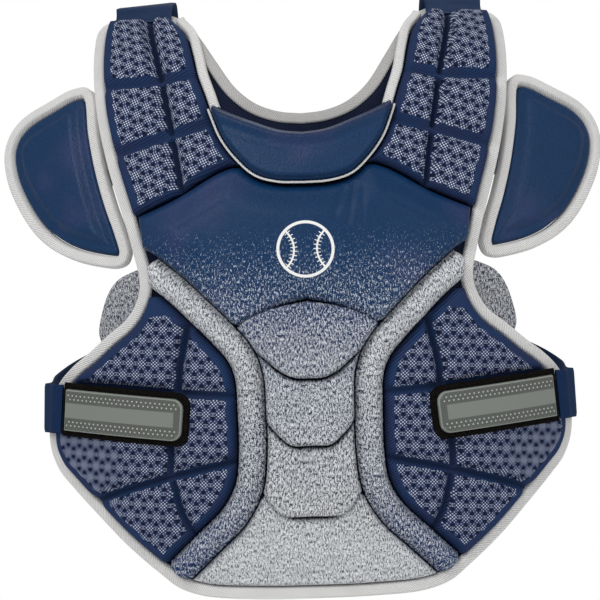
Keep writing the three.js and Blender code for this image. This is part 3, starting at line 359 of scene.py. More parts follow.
def sideways(line, distance, sheet=BODY, closed=False):
    """The line moved by a true distance on the sheet, to the right of its direction of travel"""
    line = np.asarray(line, float)
    if closed:
        run = np.roll(line, -1, axis=0) - np.roll(line, 1, axis=0)
    else:
        run = np.gradient(line, axis=0)
    skew = sheet.skew(line)
    square = np.stack([-(skew * run[:, 0] + run[:, 1]), run[:, 0] + skew * run[:, 1]], -1)
    size = np.sqrt(square[:, 0] ** 2 + square[:, 1] ** 2 + 2 * skew * square[:, 0] * square[:, 1])
    return line + square / size[:, None] * np.asarray(distance, float).reshape(-1, 1)


def across_at(line, down):
    order = np.argsort(line[:, 1], kind="stable")
    return np.interp(down, line[order, 1], line[order, 0])


def down_at(line, across):
    order = np.argsort(line[:, 0], kind="stable")
    return np.interp(across, line[order, 0], line[order, 1])


def part_of(line, low, high):
    """The points of a line that lie between two lengths down"""
    return line[(line[:, 1] >= low) & (line[:, 1] <= high)]


def spread(count, tight=0.6):
    """Shares from 0 to 1 that crowd towards both ends"""
    t = np.linspace(0, 1, count)
    return (1 - tight) * t + tight * (0.5 - 0.5 * np.cos(math.pi * t))


def away(points, *lines):
    """Distance of space points from the nearest of some polylines"""
    flat = points.reshape(-1, 3)
    least = np.full(len(flat), np.inf)
    for line in lines:
        a, b = line[:-1], line[1:]
        run = b - a
        size = np.maximum((run ** 2).sum(1), 1e-9)
        for low in range(0, len(flat), 6000):
            block = flat[low:low + 6000, None] - a[None]
            share = np.clip((block * run).sum(2) / size, 0, 1)
            gap = np.linalg.norm(block - share[..., None] * run, axis=2).min(1)
            least[low:low + 6000] = np.minimum(least[low:low + 6000], gap)
    return least.reshape(points.shape[:-1])


def rolled(distance, radius):
    """Quarter of an ellipse: 0 at a seam, 1 from one radius away"""
    return np.sqrt(1 - (1 - np.clip(distance / radius, 0, 1)) ** 2)


def soft_step(value, low, high):
    t = np.clip((value - low) / (high - low), 0, 1)
    return t * t * (3 - 2 * t)


def speckle(points, size, seed):
    """Smooth random heights between -1 and 1: random values on a coarse cubic lattice, blended between"""
    rng = np.random.default_rng(seed)
    table = rng.uniform(-1, 1, 4096)
    cell = np.floor(points / size).astype(int)
    part = points / size - cell
    part = part * part * (3 - 2 * part)
    total = np.zeros(points.shape[:-1])
    for corner in range(8):
        step = np.array([corner & 1, corner >> 1 & 1, corner >> 2 & 1])
        key = ((cell + step) * np.array([73, 157, 113])).sum(-1) % 4096
        weight = np.prod(np.where(step, part, 1 - part), axis=-1)
        total += table[key] * weight
    return total


# Meshes


def grid_quads(rows, columns, wrap_rows=False, wrap_columns=False):
    """Corner indices of the quads of a grid, going round where it wraps"""
    i = np.arange(rows if wrap_rows else rows - 1)[:, None]
    j = np.arange(columns if wrap_columns else columns - 1)[None]
    i2, j2 = (i + 1) % rows, (j + 1) % columns
    i, j, i2, j2 = np.broadcast_arrays(i, j, i2, j2)
    corners = [i * columns + j, i2 * columns + j, i2 * columns + j2, i * columns + j2]
    return np.stack(corners, -1).reshape(-1, 4)


def two_faced(rows, columns):
    """Quads of a closed pad: an upper grid, and a lower one that shares the upper one's rim"""
    count = rows * columns
    index = np.arange(count).reshape(rows, columns).copy()
    index[1:-1, 1:-1] = count + np.arange((rows - 2) * (columns - 2)).reshape(rows - 2, columns - 2)
    top = grid_quads(rows, columns)
    return np.vstack([top, index.ravel()[top][:, ::-1]])


def with_inside(grid, low=None):
    """The points of a grid, and then those inside its rim once more, from the lower grid if there is one"""
    low = grid if low is None else low
    size = grid.shape[-1]
    return np.vstack([grid.reshape(-1, size), low[1:-1, 1:-1].reshape(-1, size)])


def volume(points, quads):
    a, b, c, d = (points[quads[:, k]] for k in range(4))
    return (a * np.cross(b, c)).sum() + (a * np.cross(c, d)).sum()


def make_piece(name, points, quads, finish, nodes, uv, caps=(), marks=None):
    """Puts a closed surface of quads and cap polygons into a mesh object that rides on the body and
    stands for its CAD nodes. uv holds one pair for every quad corner, in hundreds of millimetres"""
    if volume(points, quads) < 0:
        quads, uv = quads[:, ::-1], uv[:, ::-1]
        caps = [cap[::-1] for cap in caps]
    mesh = bpy.data.meshes.new(name)
    mesh.vertices.add(len(points))
    mesh.vertices.foreach_set("co", (points * MM).astype(np.float32).ravel())
    corners = np.concatenate([quads.ravel(), *[np.asarray(cap) for cap in caps]]).astype(np.int32)
    sizes = np.array([4] * len(quads) + [len(cap) for cap in caps], np.int32)
    mesh.loops.add(len(corners))
    mesh.loops.foreach_set("vertex_index", corners)
    mesh.polygons.add(len(sizes))
    mesh.polygons.foreach_set("loop_start", np.concatenate([[0], np.cumsum(sizes)[:-1]]).astype(np.int32))
    mesh.update(calc_edges=True)
    mesh.validate()
    mesh.polygons.foreach_set("use_smooth", np.ones(len(mesh.polygons), bool))
    layer = mesh.uv_layers.new(name="pattern")
    flat = np.zeros((len(corners), 2), np.float32)
    flat[:quads.size] = uv.reshape(-1, 2) / 100
    layer.data.foreach_set("uv", flat.ravel())
    for mark, values in (marks or {}).items():
        data = mesh.attributes.new(mark, "FLOAT", "POINT").data
        data.foreach_set("value", np.asarray(values, np.float32).ravel())
    mesh.materials.append(material(finish))
    piece = bpy.data.objects.new(name, mesh)
    bpy.context.scene.collection.objects.link(piece)
    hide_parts(*nodes)
    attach(piece, "root")
    return piece


def padded_piece(name, pattern, height, base, finish, nodes, mirror=1, marks=None, flat=None):
    """Closed pad: an upper grid of the pattern at its heights, and a lower one at the base that shares the
    upper one's rim. Its material follows the pattern, or the flat grid where one is given"""
    quads = two_faced(*pattern.shape[:2])
    points = with_inside(BODY.place(pattern, height), BODY.place(pattern, base))
    points = points * np.array([mirror, 1, 1])
    if flat is None:
        flat = pattern * np.array([mirror, 1])
    flat = with_inside(flat)
    full = {}
    for key, values in (marks or {}).items():
        full[key] = np.concatenate([values.ravel(), np.zeros(len(points) - values.size)])
    return make_piece(name, points, quads, finish, nodes, flat[quads], marks=full)


def tube_piece(name, loops, finish, nodes, closed=False, mirror=1, marks=None):
    """Surface swept through loops of points. Its pattern runs in millimetres along and round the loops"""
    count, around = loops.shape[:2]
    quads = grid_quads(count, around, wrap_rows=closed, wrap_columns=True)
    lines = loops.mean(axis=1), loops[count // 2]
    along, turned = (lengths(np.vstack([line, line[:1]])) for line in lines)
    i = np.arange(count if closed else count - 1)[:, None]
    j = np.arange(around)[None]
    i, j = np.broadcast_arrays(i, j)
    corners = [(i, j), (i + 1, j), (i + 1, j + 1), (i, j + 1)]
    uv = np.stack([np.stack([along[a], turned[b]], -1) for a, b in corners], 2).reshape(-1, 4, 2)
    ends = [list(range(around - 1, -1, -1)), [(count - 1) * around + k for k in range(around)]]
    caps = [] if closed else ends
    points = loops.reshape(-1, 3) * np.array([mirror, 1, 1])
    return make_piece(name, points, quads, finish, nodes, uv, caps=caps, marks=marks)


def ruled(first, last, columns, tight=0.6):
    """Grid between two rails: point = first rail mixed with last rail by an even or crowded share"""
    share = spread(columns, tight)[None, :, None]
    return first[:, None] * (1 - share) + last[:, None] * share


def rim(pattern):
    """The four sides of a grid of the pattern, in space: first and last row, first and last column"""
    return [BODY.place(edge) for edge in (pattern[0], pattern[-1], pattern[:, 0], pattern[:, -1])]


def flat_border(flat):
    """Distance of a flat grid's points from its four sides"""
    grid = np.concatenate([flat, np.zeros((*flat.shape[:2], 1))], -1)
    return away(grid, grid[0], grid[-1], grid[:, 0], grid[:, -1])


# Materials


class Finish:
    """One material: nodes are added by name, and a value may be a number or another node's socket"""

    def __init__(self, name):
        self.material = bpy.data.materials.new(name)
        self.material.use_nodes = True
        self.tree = self.material.node_tree
        self.tree.nodes.clear()
        output = self.tree.nodes.new("ShaderNodeOutputMaterial")
        self.skin = self.tree.nodes.new("ShaderNodeBsdfPrincipled")
        self.tree.links.new(self.skin.outputs[0], output.inputs[0])

    def put(self, socket, value):
        if isinstance(value, bpy.types.NodeSocket):
            self.tree.links.new(value, socket)
        elif value is not None:
            socket.default_value = value

    def node(self, kind, inputs=(), out=0, **settings):
        node = self.tree.nodes.new(kind)
        for key, value in settings.items():
            setattr(node, key, value)
        for key, value in dict(inputs).items():
            self.put(node.inputs[key], value)
        return node.outputs[out]

    def math(self, operation, a, b=None, c=None):
        inputs = {k: v for k, v in enumerate((a, b, c)) if v is not None}
        return self.node("ShaderNodeMath", inputs, operation=operation)

    def times(self, a, b):
        return self.math("MULTIPLY", a, b)

    def plus(self, a, b):
        return self.math("ADD", a, b)

    def minus(self, a, b):
        return self.math("SUBTRACT", a, b)

    def wave(self, value):
        """Distance to the nearest whole number"""
        return self.math("PINGPONG", value, 0.5)

    def length(self, *parts):
        return self.node("ShaderNodeVectorMath", {0: self.point(*parts)}, out=1, operation="LENGTH")

    def step(self, value, low, high):
        """0 under low, 1 over high, smooth between"""
        inputs = {0: value, 1: low, 2: high, 3: 0.0, 4: 1.0}
        return self.node("ShaderNodeMapRange", inputs, interpolation_type="SMOOTHSTEP")

    def mix(self, share, a, b):
        """Colour a where share is 0 and b where it is 1"""
        return self.node("ShaderNodeMix", {0: share, 6: a, 7: b}, out=2, data_type="RGBA")

    def pattern(self):
        """Across and down of the piece's own flat pattern, in millimetres"""
        uv = self.node("ShaderNodeUVMap", uv_map="pattern")
        parts = self.tree.nodes.new("ShaderNodeSeparateXYZ")
        self.put(parts.inputs[0], uv)
        return self.times(parts.outputs[0], 100.0), self.times(parts.outputs[1], 100.0)

    def point(self, across, down, third=0.0):
        return self.node("ShaderNodeCombineXYZ", {0: across, 1: down, 2: third})

    def noise(self, vector, scale=1.0, detail=2.0, roughness=0.5):
        inputs = {"Vector": vector, "Scale": scale, "Detail": detail, "Roughness": roughness}
        return self.node("ShaderNodeTexNoise", inputs)

    def mark(self, name):
        return self.node("ShaderNodeAttribute", out=2, attribute_name=name)

    def object_point(self):
        """The object's own coordinates in millimetres"""
        here = self.node("ShaderNodeTexCoord", out=3)
        return self.node("ShaderNodeVectorMath", {0: here, 3: 1000.0}, operation="SCALE")

    def relief(self, height, depth_mm, strength=1.0):
        inputs = {"Height": height, "Distance": depth_mm * MM, "Strength": strength}
        return self.node("ShaderNodeBump", inputs)

    def finish(self, base, roughness, normal=None, **constants):
        self.put(self.skin.inputs["Base Color"], base)
        self.put(self.skin.inputs["Roughness"], roughness)
        if normal is not None:
            self.put(self.skin.inputs["Normal"], normal)
        for key, value in constants.items():
            self.skin.inputs[key.replace("_", " ")].default_value = value
        return self.material


def grain(f, here, size):
    """Pebbled grain: distance to the cells of a fine Voronoi, roughened by noise"""
    cells = f.node("ShaderNodeTexVoronoi", {"Vector": here, "Scale": 1 / size, "Randomness": 1.0},
                   feature="SMOOTH_F1")
    return f.plus(cells, f.times(f.noise(here, 0.5 / size, 3.0), 0.6))


def leather_ground(f, here):
    """Navy leather's colour: broad patches of painted violet sheen over the navy, a painted highlight along
    the collar's rolled lip, and mottling as fine as the grain
    """
    sheen_patches = f.step(f.noise(here, 0.014, 2.0), 0.48, 0.68)
    fine = f.step(f.noise(here, 0.5, 2.0, 0.7), 0.35, 0.65)
    base = f.mix(f.times(sheen_patches, 0.6), tint("leather"), tint("leather_sheen"))
    # Painted highlight along the collar's rolled top lip, where the collar's lip mark is set
    base = f.mix(f.times(f.mark("lip"), 0.75), base, tint("painted_violet_sheen"))
    dark = f.mix(0.3, base, (0.003, 0.011, 0.032, 1))
    return f.mix(fine, dark, base)


def leather_material():
    f = Finish("navy_leather")
    here = f.object_point()
    height = grain(f, here, 1.5)
    rough = f.plus(f.times(f.noise(here, 0.05, 2.0), 0.2), 0.38)
    return f.finish(leather_ground(f, here), rough, f.relief(height, 0.42, 0.8), Specular_IOR_Level=0.26)


def fleck_mask(f, across, down, share, tall=2.9):
    """Streaks of light yarn: stretched noise over a threshold that gives the wanted share of light"""
    wander = f.noise(f.point(across, down, 7.0), 0.12, 1.0)
    lean = f.times(f.minus(wander, 0.5), 4.0)
    run = f.point(f.plus(across, lean), f.times(down, 1 / tall), 3.0)
    long = f.noise(run, 1.0, 2.0, 0.7)
    fine = f.noise(f.point(f.times(across, 2.1), f.times(down, 1.5), 11.0), 1.0, 1.0, 0.5)
    both = f.plus(f.times(long, 0.6), f.times(fine, 0.4))
    cut = f.plus(0.5, f.times(f.minus(0.5, share), 0.3))
    return f.step(f.minus(both, cut), -0.02, 0.02)


def along_table(f, value, stops):
    """Value of a short table at some length, straight between its rows"""
    result = stops[0][1]
    for (low, a), (high, b) in zip(stops, stops[1:]):
        step = f.node("ShaderNodeMapRange", {0: value, 1: low, 2: high, 3: 0.0, 4: b - a})
        result = f.plus(result, step)
    return result


def heather_material(name, shares, navy, light="heather"):
    """Flecked fabric whose share of light yarn and whose navy tint change down the front. On the flex
    bands the darkening towards their lower ends is painted shade
    """
    f = Finish(name)
    across, down = f.pattern()
    share = along_table(f, down, shares)
    navy_and_shade = along_table(f, down, navy)
    mask = fleck_mask(f, across, down, share)
    dark = f.mix(navy_and_shade, tint("fleck"), tint("fleck_navy"))
    soft = f.noise(f.point(across, down), 0.05, 2.0)
    pale = f.mix(f.times(navy_and_shade, 0.35), tint(light), (0.42, 0.5, 0.66, 1))
    pale = f.mix(f.step(soft, 0.3, 0.75), f.mix(0.12, pale, (0.1, 0.11, 0.14, 1)), pale)
    streak = f.noise(f.point(f.times(across, 1.1), f.times(down, 0.4), 23.0), 1.0, 2.0, 0.6)
    pale = f.mix(f.step(streak, 0.58, 0.38), pale, f.mix(0.5, pale, (0.2, 0.22, 0.26, 1)))
    weave = f.noise(f.point(across, down), 2.2, 2.0)
    height = f.plus(f.times(mask, 0.5), weave)
    return f.finish(f.mix(mask, dark, pale), 0.88, f.relief(height, 0.16, 0.5), Specular_IOR_Level=0.15)


def ball_print(f, across, down):
    """Plain printed ball: a ring, and two seams that are arcs of circles outside it, with short ticks"""
    radius, low = 21.0, f.minus(down, 231.0)

    def circle(middle):
        return f.length(f.minus(across, middle), low)

    from_middle = circle(0.0)
    inside = f.step(from_middle, radius, radius - 0.5)
    total = f.times(inside, f.step(from_middle, radius - 2.6, radius - 2.1))
    for side in (-1, 1):
        off = f.math("ABSOLUTE", f.minus(circle(side * radius * 1.25), radius * 0.86))
        total = f.math("MAXIMUM", total, f.times(inside, f.step(off, 0.85, 0.45)))
        bend = f.math("ARCTAN2", low, f.minus(side * radius * 1.25, across))
        beat = f.wave(f.times(bend, 6.2 if side > 0 else -6.2))
        tick = f.times(f.step(beat, 0.13, 0.07), f.step(off, 2.7, 2.3))
        total = f.math("MAXIMUM", total, f.times(inside, tick))
    return total


def chest_material():
    """Smooth navy at the yoke that takes on light flecks further down, with one plain print"""
    f = Finish("chest_leather")
    across, down = f.pattern()
    here = f.object_point()
    shares = ((188, -0.6), (205, -0.2), (218, 0.06), (240, 0.22), (262, 0.3), (290, 0.38))
    mask = fleck_mask(f, across, down, along_table(f, down, shares), 3.0)
    mask = f.times(mask, f.step(down, 190.0, 225.0))
    ground = leather_ground(f, here)
    fleck = f.mix(f.step(down, 210.0, 260.0), (0.26, 0.38, 0.56, 1), (0.68, 0.74, 0.84, 1))
    base = f.mix(ball_print(f, across, down), f.mix(mask, ground, fleck), tint("binding"))
    height = f.plus(grain(f, here, 1.5), f.times(mask, 0.4))
    return f.finish(base, 0.5, f.relief(height, 0.3, 0.6), Specular_IOR_Level=0.22)


# Millimetres between the lattice's rows, and between the knitted dots
MESH_ROW = 8.9
DOT_PITCH = 1.817


def lattice(f, along, down, row):
    """Three families of lines, a row apart and at 60 degrees, that meet in common points. Gives the
    distance from each family, and the place beside the nearest meeting point"""
    high = math.sqrt(3) / 2
    slant = (
        f.plus(f.times(along, high / row), f.times(down, 0.5 / row)),
        f.minus(f.times(along, high / row), f.times(down, 0.5 / row)),
    )
    near = [f.math("WRAP", way, 0.5, -0.5) for way in slant]
    ways = (f.times(down, 1 / row), *slant)
    gaps = [f.times(f.wave(way), row) for way in ways]
    beside = f.times(f.plus(near[0], near[1]), row / math.sqrt(3))
    below = f.times(f.minus(near[0], near[1]), row)
    return gaps, beside, below


def knit_dots(f, along, down, pitch):
    """Round dots of a square net that stands on its corner: 1 in a dot, 0 between dots"""
    scale = math.sqrt(0.5) / pitch
    first = f.wave(f.times(f.plus(along, down), scale))
    second = f.wave(f.times(f.minus(along, down), scale))
    off = f.length(first, second)
    return f.step(off, 0.38, 0.22)


def quilt_material(name, heading, bright):
    """Knitted mesh: dots crowd where the lattice's lines cross and run thinly between, with a dimple in
    each triangle that is darkened by painted shade. Where the mark named field is 0 the cloth is plain,
    with patches of painted violet sheen, and a second mark paints shade into the grooves"""
    f = Finish(name)
    across, down = f.pattern()
    c, s = math.cos(math.radians(heading)), math.sin(math.radians(heading))
    wobble = f.times(f.minus(f.noise(f.point(across, down), 0.05, 1.0), 0.5), 2.4)
    a = f.plus(across, wobble)
    u = f.plus(f.times(a, c), f.times(down, s))
    v = f.minus(f.times(down, c), f.times(a, s))
    gaps, beside, below = lattice(f, u, v, MESH_ROW)
    least = f.math("MINIMUM", f.math("MINIMUM", gaps[0], gaps[1]), gaps[2])
    total = f.plus(f.plus(gaps[0], gaps[1]), gaps[2])
    dot = knit_dots(f, beside, below, DOT_PITCH)
    field, groove_shade = f.mark("field"), f.mark("groove_shade")
    ragged = f.minus(field, f.times(f.minus(total, 8.0), 0.03))
    inside = f.step(ragged, 0.4, 0.52)
    rim_share = f.times(inside, f.step(ragged, 0.95, 0.7))
    line = f.times(f.step(least, 1.5, 0.9), f.plus(0.45, f.times(rim_share, 0.4)))
    knot = f.step(total, 5.6, 4.8)
    white = f.times(f.times(f.times(f.math("MAXIMUM", line, knot), dot), inside), bright)
    dimple = f.times(f.step(least, 1.3, 2.1), f.step(ragged, 0.25, 0.5))
    weave = f.wave(f.times(f.plus(u, v), 0.4))
    sheen_patches = f.step(f.noise(f.point(a, down), 0.04, 2.0), 0.35, 0.7)
    # Broad patches of painted violet sheen on the plain strips
    plain = f.mix(f.times(sheen_patches, 0.8), tint("mesh_border"), tint("painted_violet_sheen"))
    plain = f.mix(f.times(f.step(weave, 0.1, 0.4), 0.22), plain, (0.1, 0.12, 0.22, 1))
    ground = f.mix(f.times(dot, 0.12), tint("mesh"), tint("dots"))
    ground = f.mix(inside, plain, ground)
    # Painted shade in the dimple at the middle of each triangle
    ground = f.mix(f.times(dimple, 0.9), ground, (0.004, 0.008, 0.026, 1))
    base = f.mix(white, ground, tint("dots"))
    # Painted shade along the stitched grooves
    base = f.mix(f.times(groove_shade, 0.85), base, (0.003, 0.008, 0.026, 1))
    height = f.minus(f.times(white, 0.3), f.times(dimple, 0.9))
    height = f.plus(height, f.times(dot, 0.15))
    return f.finish(base, 0.85, f.relief(height, 0.6, 0.7), Specular_IOR_Level=0.1)


def twill_material():
    """Ribbed tape: fine slanted ribs along its length and a soft grey mottling"""
    f = Finish("white_binding")
    along, turn = f.pattern()
    slant = f.plus(along, f.times(turn, 0.85))
    rib = f.step(f.wave(f.times(slant, 1 / 1.9)), 0.05, 0.34)
    here = f.object_point()
    spots = f.step(f.noise(here, 0.9, 3.0), 0.3, 0.65)
    worn = f.step(f.noise(here, 0.06, 2.0), 0.35, 0.7)
    white = tint("binding")
    base = f.mix(rib, f.mix(0.36, white, (0.26, 0.26, 0.27, 1)), white)
    base = f.mix(spots, f.mix(0.1, base, (0.3, 0.3, 0.3, 1)), base)
    base = f.mix(worn, f.mix(0.08, base, (0.4, 0.4, 0.42, 1)), base)
    # Painted shade round the neck, where the mark named shade is set
    base = f.mix(f.mark("shade"), base, (0.3, 0.29, 0.285, 1))
    beat = f.step(f.wave(f.times(along, 1 / 3.4)), 0.2, 0.1)
    stitch = f.times(beat, f.step(f.math("ABSOLUTE", f.minus(turn, 2.2)), 0.6, 0.3))
    base = f.mix(f.times(stitch, 0.45), base, (0.12, 0.12, 0.13, 1))
    height = f.plus(rib, f.times(spots, 0.3))
    return f.finish(base, 0.85, f.relief(height, 0.4, 0.9), Specular_IOR_Level=0.2)


def lining_material():
    """Open mesh: small dark holes in a staggered grid over matt navy"""
    f = Finish("lining")
    across, down = f.pattern()
    t1 = f.wave(f.times(f.plus(across, down), 0.36))
    t2 = f.wave(f.times(f.minus(across, down), 0.36))
    hole = f.step(f.length(t1, t2), 0.34, 0.2)
    soft = f.noise(f.point(across, down), 0.03, 2.0)
    pale = f.mix(0.1, tint("lining"), (0.06, 0.08, 0.16, 1))
    ground = f.mix(f.step(soft, 0.3, 0.7), tint("lining"), pale)
    base = f.mix(f.times(hole, 0.8), ground, (0.002, 0.003, 0.008, 1))
    return f.finish(base, 0.9, f.relief(f.minus(1.0, hole), 0.4, 0.7), Specular_IOR_Level=0.1)


def webbing_material():
    """Elastic: close ribs across the strap and two faint woven lines along it"""
    f = Finish("webbing")
    along, turn = f.pattern()
    rib = f.wave(f.times(along, 0.62))
    yarn = f.wave(f.times(turn, 0.9))
    soft = f.noise(f.point(along, turn), 0.05, 3.0)
    dark = f.mix(0.35, tint("webbing"), (0.003, 0.008, 0.02, 1))
    base = f.mix(f.step(rib, 0.05, 0.4), dark, tint("webbing"))
    base = f.mix(f.times(f.step(soft, 0.3, 0.8), 0.1), base, (0.03, 0.09, 0.2, 1))
    height = f.plus(rib, f.times(yarn, 0.5))
    return f.finish(base, 0.75, f.relief(height, 0.3, 0.6), Specular_IOR_Level=0.15)


def hook_material():
    """Hook fabric: dense short black bristles"""
    f = Finish("hook_fabric")
    here = f.object_point()
    bristle = f.node("ShaderNodeTexVoronoi", {"Vector": here, "Scale": 1.3}, feature="F1")
    base = f.mix(f.step(bristle, 0.2, 0.6), (0.016, 0.014, 0.012, 1), tint("hook"))
    return f.finish(base, 0.95, f.relief(bristle, 0.5, 0.9), Specular_IOR_Level=0.05)


def rubber_material():
    """Moulded rubber: a light rim and middle strip, and rows of small raised dots on the two grey strips.
    The pattern is the tab's own length and width from its middle"""
    f = Finish("rubber")
    along, wide = f.pattern()
    half_long = mm(trim().tab) / 2
    off = f.math("ABSOLUTE", wide)
    strip = f.times(f.step(off, 5.9, 5.5), f.step(along, 6.0 - half_long, 6.4 - half_long))
    rim_mark = f.mark("rim")
    edge = f.step(rim_mark, 1.5, 1.1)
    row = f.wave(f.times(f.minus(off, 8.6), 1 / 2.9))
    lane = f.math("FLOOR", f.plus(f.times(f.minus(off, 8.6), 1 / 2.9), 0.5))
    beat = f.wave(f.plus(f.times(along, 1 / 3.6), f.times(lane, 0.5)))
    spot = f.length(f.times(beat, 3.6), f.times(row, 2.9))
    dots = f.times(f.step(spot, 0.72, 0.48), f.step(off, 6.6, 7.0))
    dots = f.times(dots, f.step(rim_mark, 1.9, 2.3))
    here = f.object_point()
    soft = f.step(f.noise(here, 0.25, 3.0), 0.35, 0.7)
    base = f.mix(soft, f.mix(0.15, tint("rubber"), (0.08, 0.08, 0.08, 1)), tint("rubber"))
    base = f.mix(strip, base, f.mix(0.35, tint("rubber_light"), tint("rubber")))
    base = f.mix(edge, base, tint("rubber_light"))
    base = f.mix(f.times(dots, 0.9), base, (0.62, 0.64, 0.61, 1))
    height = f.plus(f.math("MAXIMUM", strip, edge), dots)
    return f.finish(base, 0.55, f.relief(height, 0.35, 0.8), Specular_IOR_Level=0.3)


def paper_material():
    """Pale studio floor with a faint mottling"""
    f = Finish("studio_floor")
    soft = f.noise(f.object_point(), 0.004, 2.0)
    return f.finish(f.mix(soft, (0.86, 0.86, 0.86, 1), (0.9, 0.9, 0.9, 1)), 0.9)


_made = {}


def material(name):
    """The finish of that name, made once"""
    makers = {
        "navy_leather": leather_material,
        "chest_leather": chest_material,
        "shoulder_mesh": lambda: quilt_material("shoulder_mesh", 21.0, 0.95),
        "side_mesh": lambda: quilt_material("side_mesh", 4.0, 0.75),
        "heather": lambda: heather_material(
            "heather",
            ((270, 0.36), (290, 0.45), (320, 0.52), (360, 0.54), (420, 0.56), (450, 0.62), (490, 0.66)),
            ((270, 0.9), (300, 0.7), (330, 0.45), (380, 0.15), (420, 0.0)),
        ),
        "heather_band": lambda: heather_material(
            "heather_band",
            # Fewer light flecks and more navy towards the lower ends: painted shade where the bands face
            # down
            ((245, 0.6), (300, 0.58), (345, 0.54), (400, 0.5), (430, 0.46), (455, 0.42), (475, 0.36)),
            ((245, 0.05), (345, 0.15), (400, 0.4), (440, 0.85), (470, 1.0)),
        ),
        "heather_wing": lambda: heather_material(
            "heather_wing", ((240, 0.5), (310, 0.5)), ((240, 0.1), (310, 0.1)), "wing",
        ),
        "white_binding": twill_material,
        "lining": lining_material,
        "webbing": webbing_material,
        "hook_fabric": hook_material,
        "rubber": rubber_material,
        "studio_floor": paper_material,
    }
    if name not in _made:
        _made[name] = makers[name]()
    return _made[name]


# Lines that several pieces share


def side_edge():
    return smooth(SIDE_EDGE)


def inside_line(gap):
    """Inner side of the edge binding along the arm, flank and hem"""
    return sideways(side_edge(), mm(trim().binding) + gap)


def inside_hem(low):
    hem = inside_line(0.6)
    return hem[hem[:, 1] > low]


def band_side(offset):
    return sideways(smooth(BAND_LINE), offset)


def shell_noise(place, size, seed, low=0.25):
    """Slight unevenness of stuffed fabric"""
    return low * speckle(place, size, seed)


# Pieces


class PROTECTOR_OT_backing(bpy.types.Operator):
    """Backing with its lining, the binding round its edge and the foam wings"""

    bl_idname = "protector.backing"
    bl_label = "Backing and edge"

    def execute(self, context):
        make_liner()
        make_edge_binding()
        make_wings()
        return {"FINISHED"}


def make_liner():
    """Closed sheet: each half is a grid from neckline or centre line to the outer edge, on both faces"""
    inset = 2.4
    side = sideways(side_edge(), inset)
    corner = int(np.argmax(side[:, 1] > HEM_CORNER))
    arms, hem = side[:corner + 1], side[corner:]
    neck = sideways(smooth(NECKLINE), inset)
    neck[0] = (0, 123 + inset)
    rows_neck, rows_body = 44, 110
    top = np.array([side[0, 0] - inset, side[0, 1] + inset])
    first = even(np.vstack([top, arms[(arms[:, 1] > top[1] + 1) & (arms[:, 1] <= neck[0, 1])]]), rows_neck)
    inner = even(np.vstack([[neck[-1, 0] - 1.0, top[1]], neck[::-1][3:]]), rows_neck)
    below = even(np.vstack([first[-1], arms[arms[:, 1] > neck[0, 1] + 1]]), rows_body)[1:]
    outer = np.vstack([first, below])
    inner = np.vstack([inner, np.stack([np.zeros(len(below)), below[:, 1]], -1)])
    grid = ruled(inner, outer, 64, tight=0.35)
    last = grid[-1]
    foot = down_at(hem, last[:, 0])
    feet = [np.stack([last[:, 0], last[:, 1] + (foot - last[:, 1]) * k / 8], -1) for k in range(1, 9)]
    grid = np.concatenate([grid, np.array(feet)])
    rows, columns = grid.shape[:2]
    place = BODY.place(grid)
    border = away(place, *rim(grid)[:2], BODY.place(outer), BODY.place(inner[:rows_neck]))
    channels = 0.5 + 0.5 * np.cos(grid[..., 1] / 46 * 2 * math.pi) ** 2
    quilt = 0.9 * (1 - np.exp(-(border / 9) ** 2)) * channels
    front = BODY.place(grid, -0.1)
    back = BODY.place(grid, -BACKING - 0.6 * quilt)
    count = rows * columns
    front_index = np.arange(count).reshape(rows, columns)
    back_index = front_index + count
    points = np.vstack([front.reshape(-1, 3), back.reshape(-1, 3)])
    both = np.vstack([points, points * np.array([-1, 1, 1])])
    top_quads = grid_quads(rows, columns)
    quads = [top_quads, back_index.ravel()[top_quads][:, ::-1]]

    def wall(line_front, line_back):
        return np.stack([line_front[:-1], line_back[:-1], line_back[1:], line_front[1:]], -1)

    quads.append(wall(front_index[:, -1], back_index[:, -1])[:, ::-1])
    quads.append(wall(front_index[:rows_neck, 0], back_index[:rows_neck, 0]))
    quads.append(wall(front_index[0], back_index[0])[:, ::-1])
    quads.append(wall(front_index[-1], back_index[-1]))
    right = np.vstack(quads)
    quads = np.vstack([right, right[:, ::-1] + 2 * count])
    flat = np.vstack([grid.reshape(-1, 2), grid.reshape(-1, 2)])
    flat = np.vstack([flat, flat * np.array([-1, 1])])
    piece = make_piece("liner_sheet", both, quads, "lining", ["liner"], flat[quads])
    merge_doubles(piece)


def merge_doubles(piece, distance=1e-5):
    bm = bmesh.new()
    bm.from_mesh(piece.data)
    bmesh.ops.remove_doubles(bm, verts=bm.verts, dist=distance)
    bmesh.ops.recalc_face_normals(bm, faces=bm.faces)
    bm.to_mesh(piece.data)
    bm.free()


def wrap_section(crown, width):
    """Binding's section as (inset, height): a domed face, a turn round the edge, a flat back, the fold"""
    t = np.linspace(0, 1, 11)
    top_in = width * (1 - t)
    top = 0.5 + (crown - 0.5) * np.clip(1 - (2 * (1 - t) - 1.0) ** 6 * 0.97, 0, 1) ** 0.5
    turn = np.linspace(0, 1, 5)[1:]
    low = WRAP_BACK
    side = np.stack([0.35 - 0.35 * np.sin(turn * math.pi), top[-1] + (low - top[-1]) * turn], -1)
    back = np.array([[0.5 * width, low], [width, low], [width, low + 1.0], [1.2, low + 1.0], [1.2, 0.5]])
    return np.vstack([[width, 0.5], np.stack([top_in, top], -1), side, back])


def edge_ring():
    neck = smooth(NECKLINE, 3.0)
    side = smooth(SIDE_EDGE, 3.0)
    over = even(np.vstack([neck[-1], side[0]]), 14)
    half = np.vstack([neck, over[1:-1], side])
    return np.vstack([half, (half[1:-1] * np.array([-1, 1]))[::-1]]), len(neck) + len(over) - 2


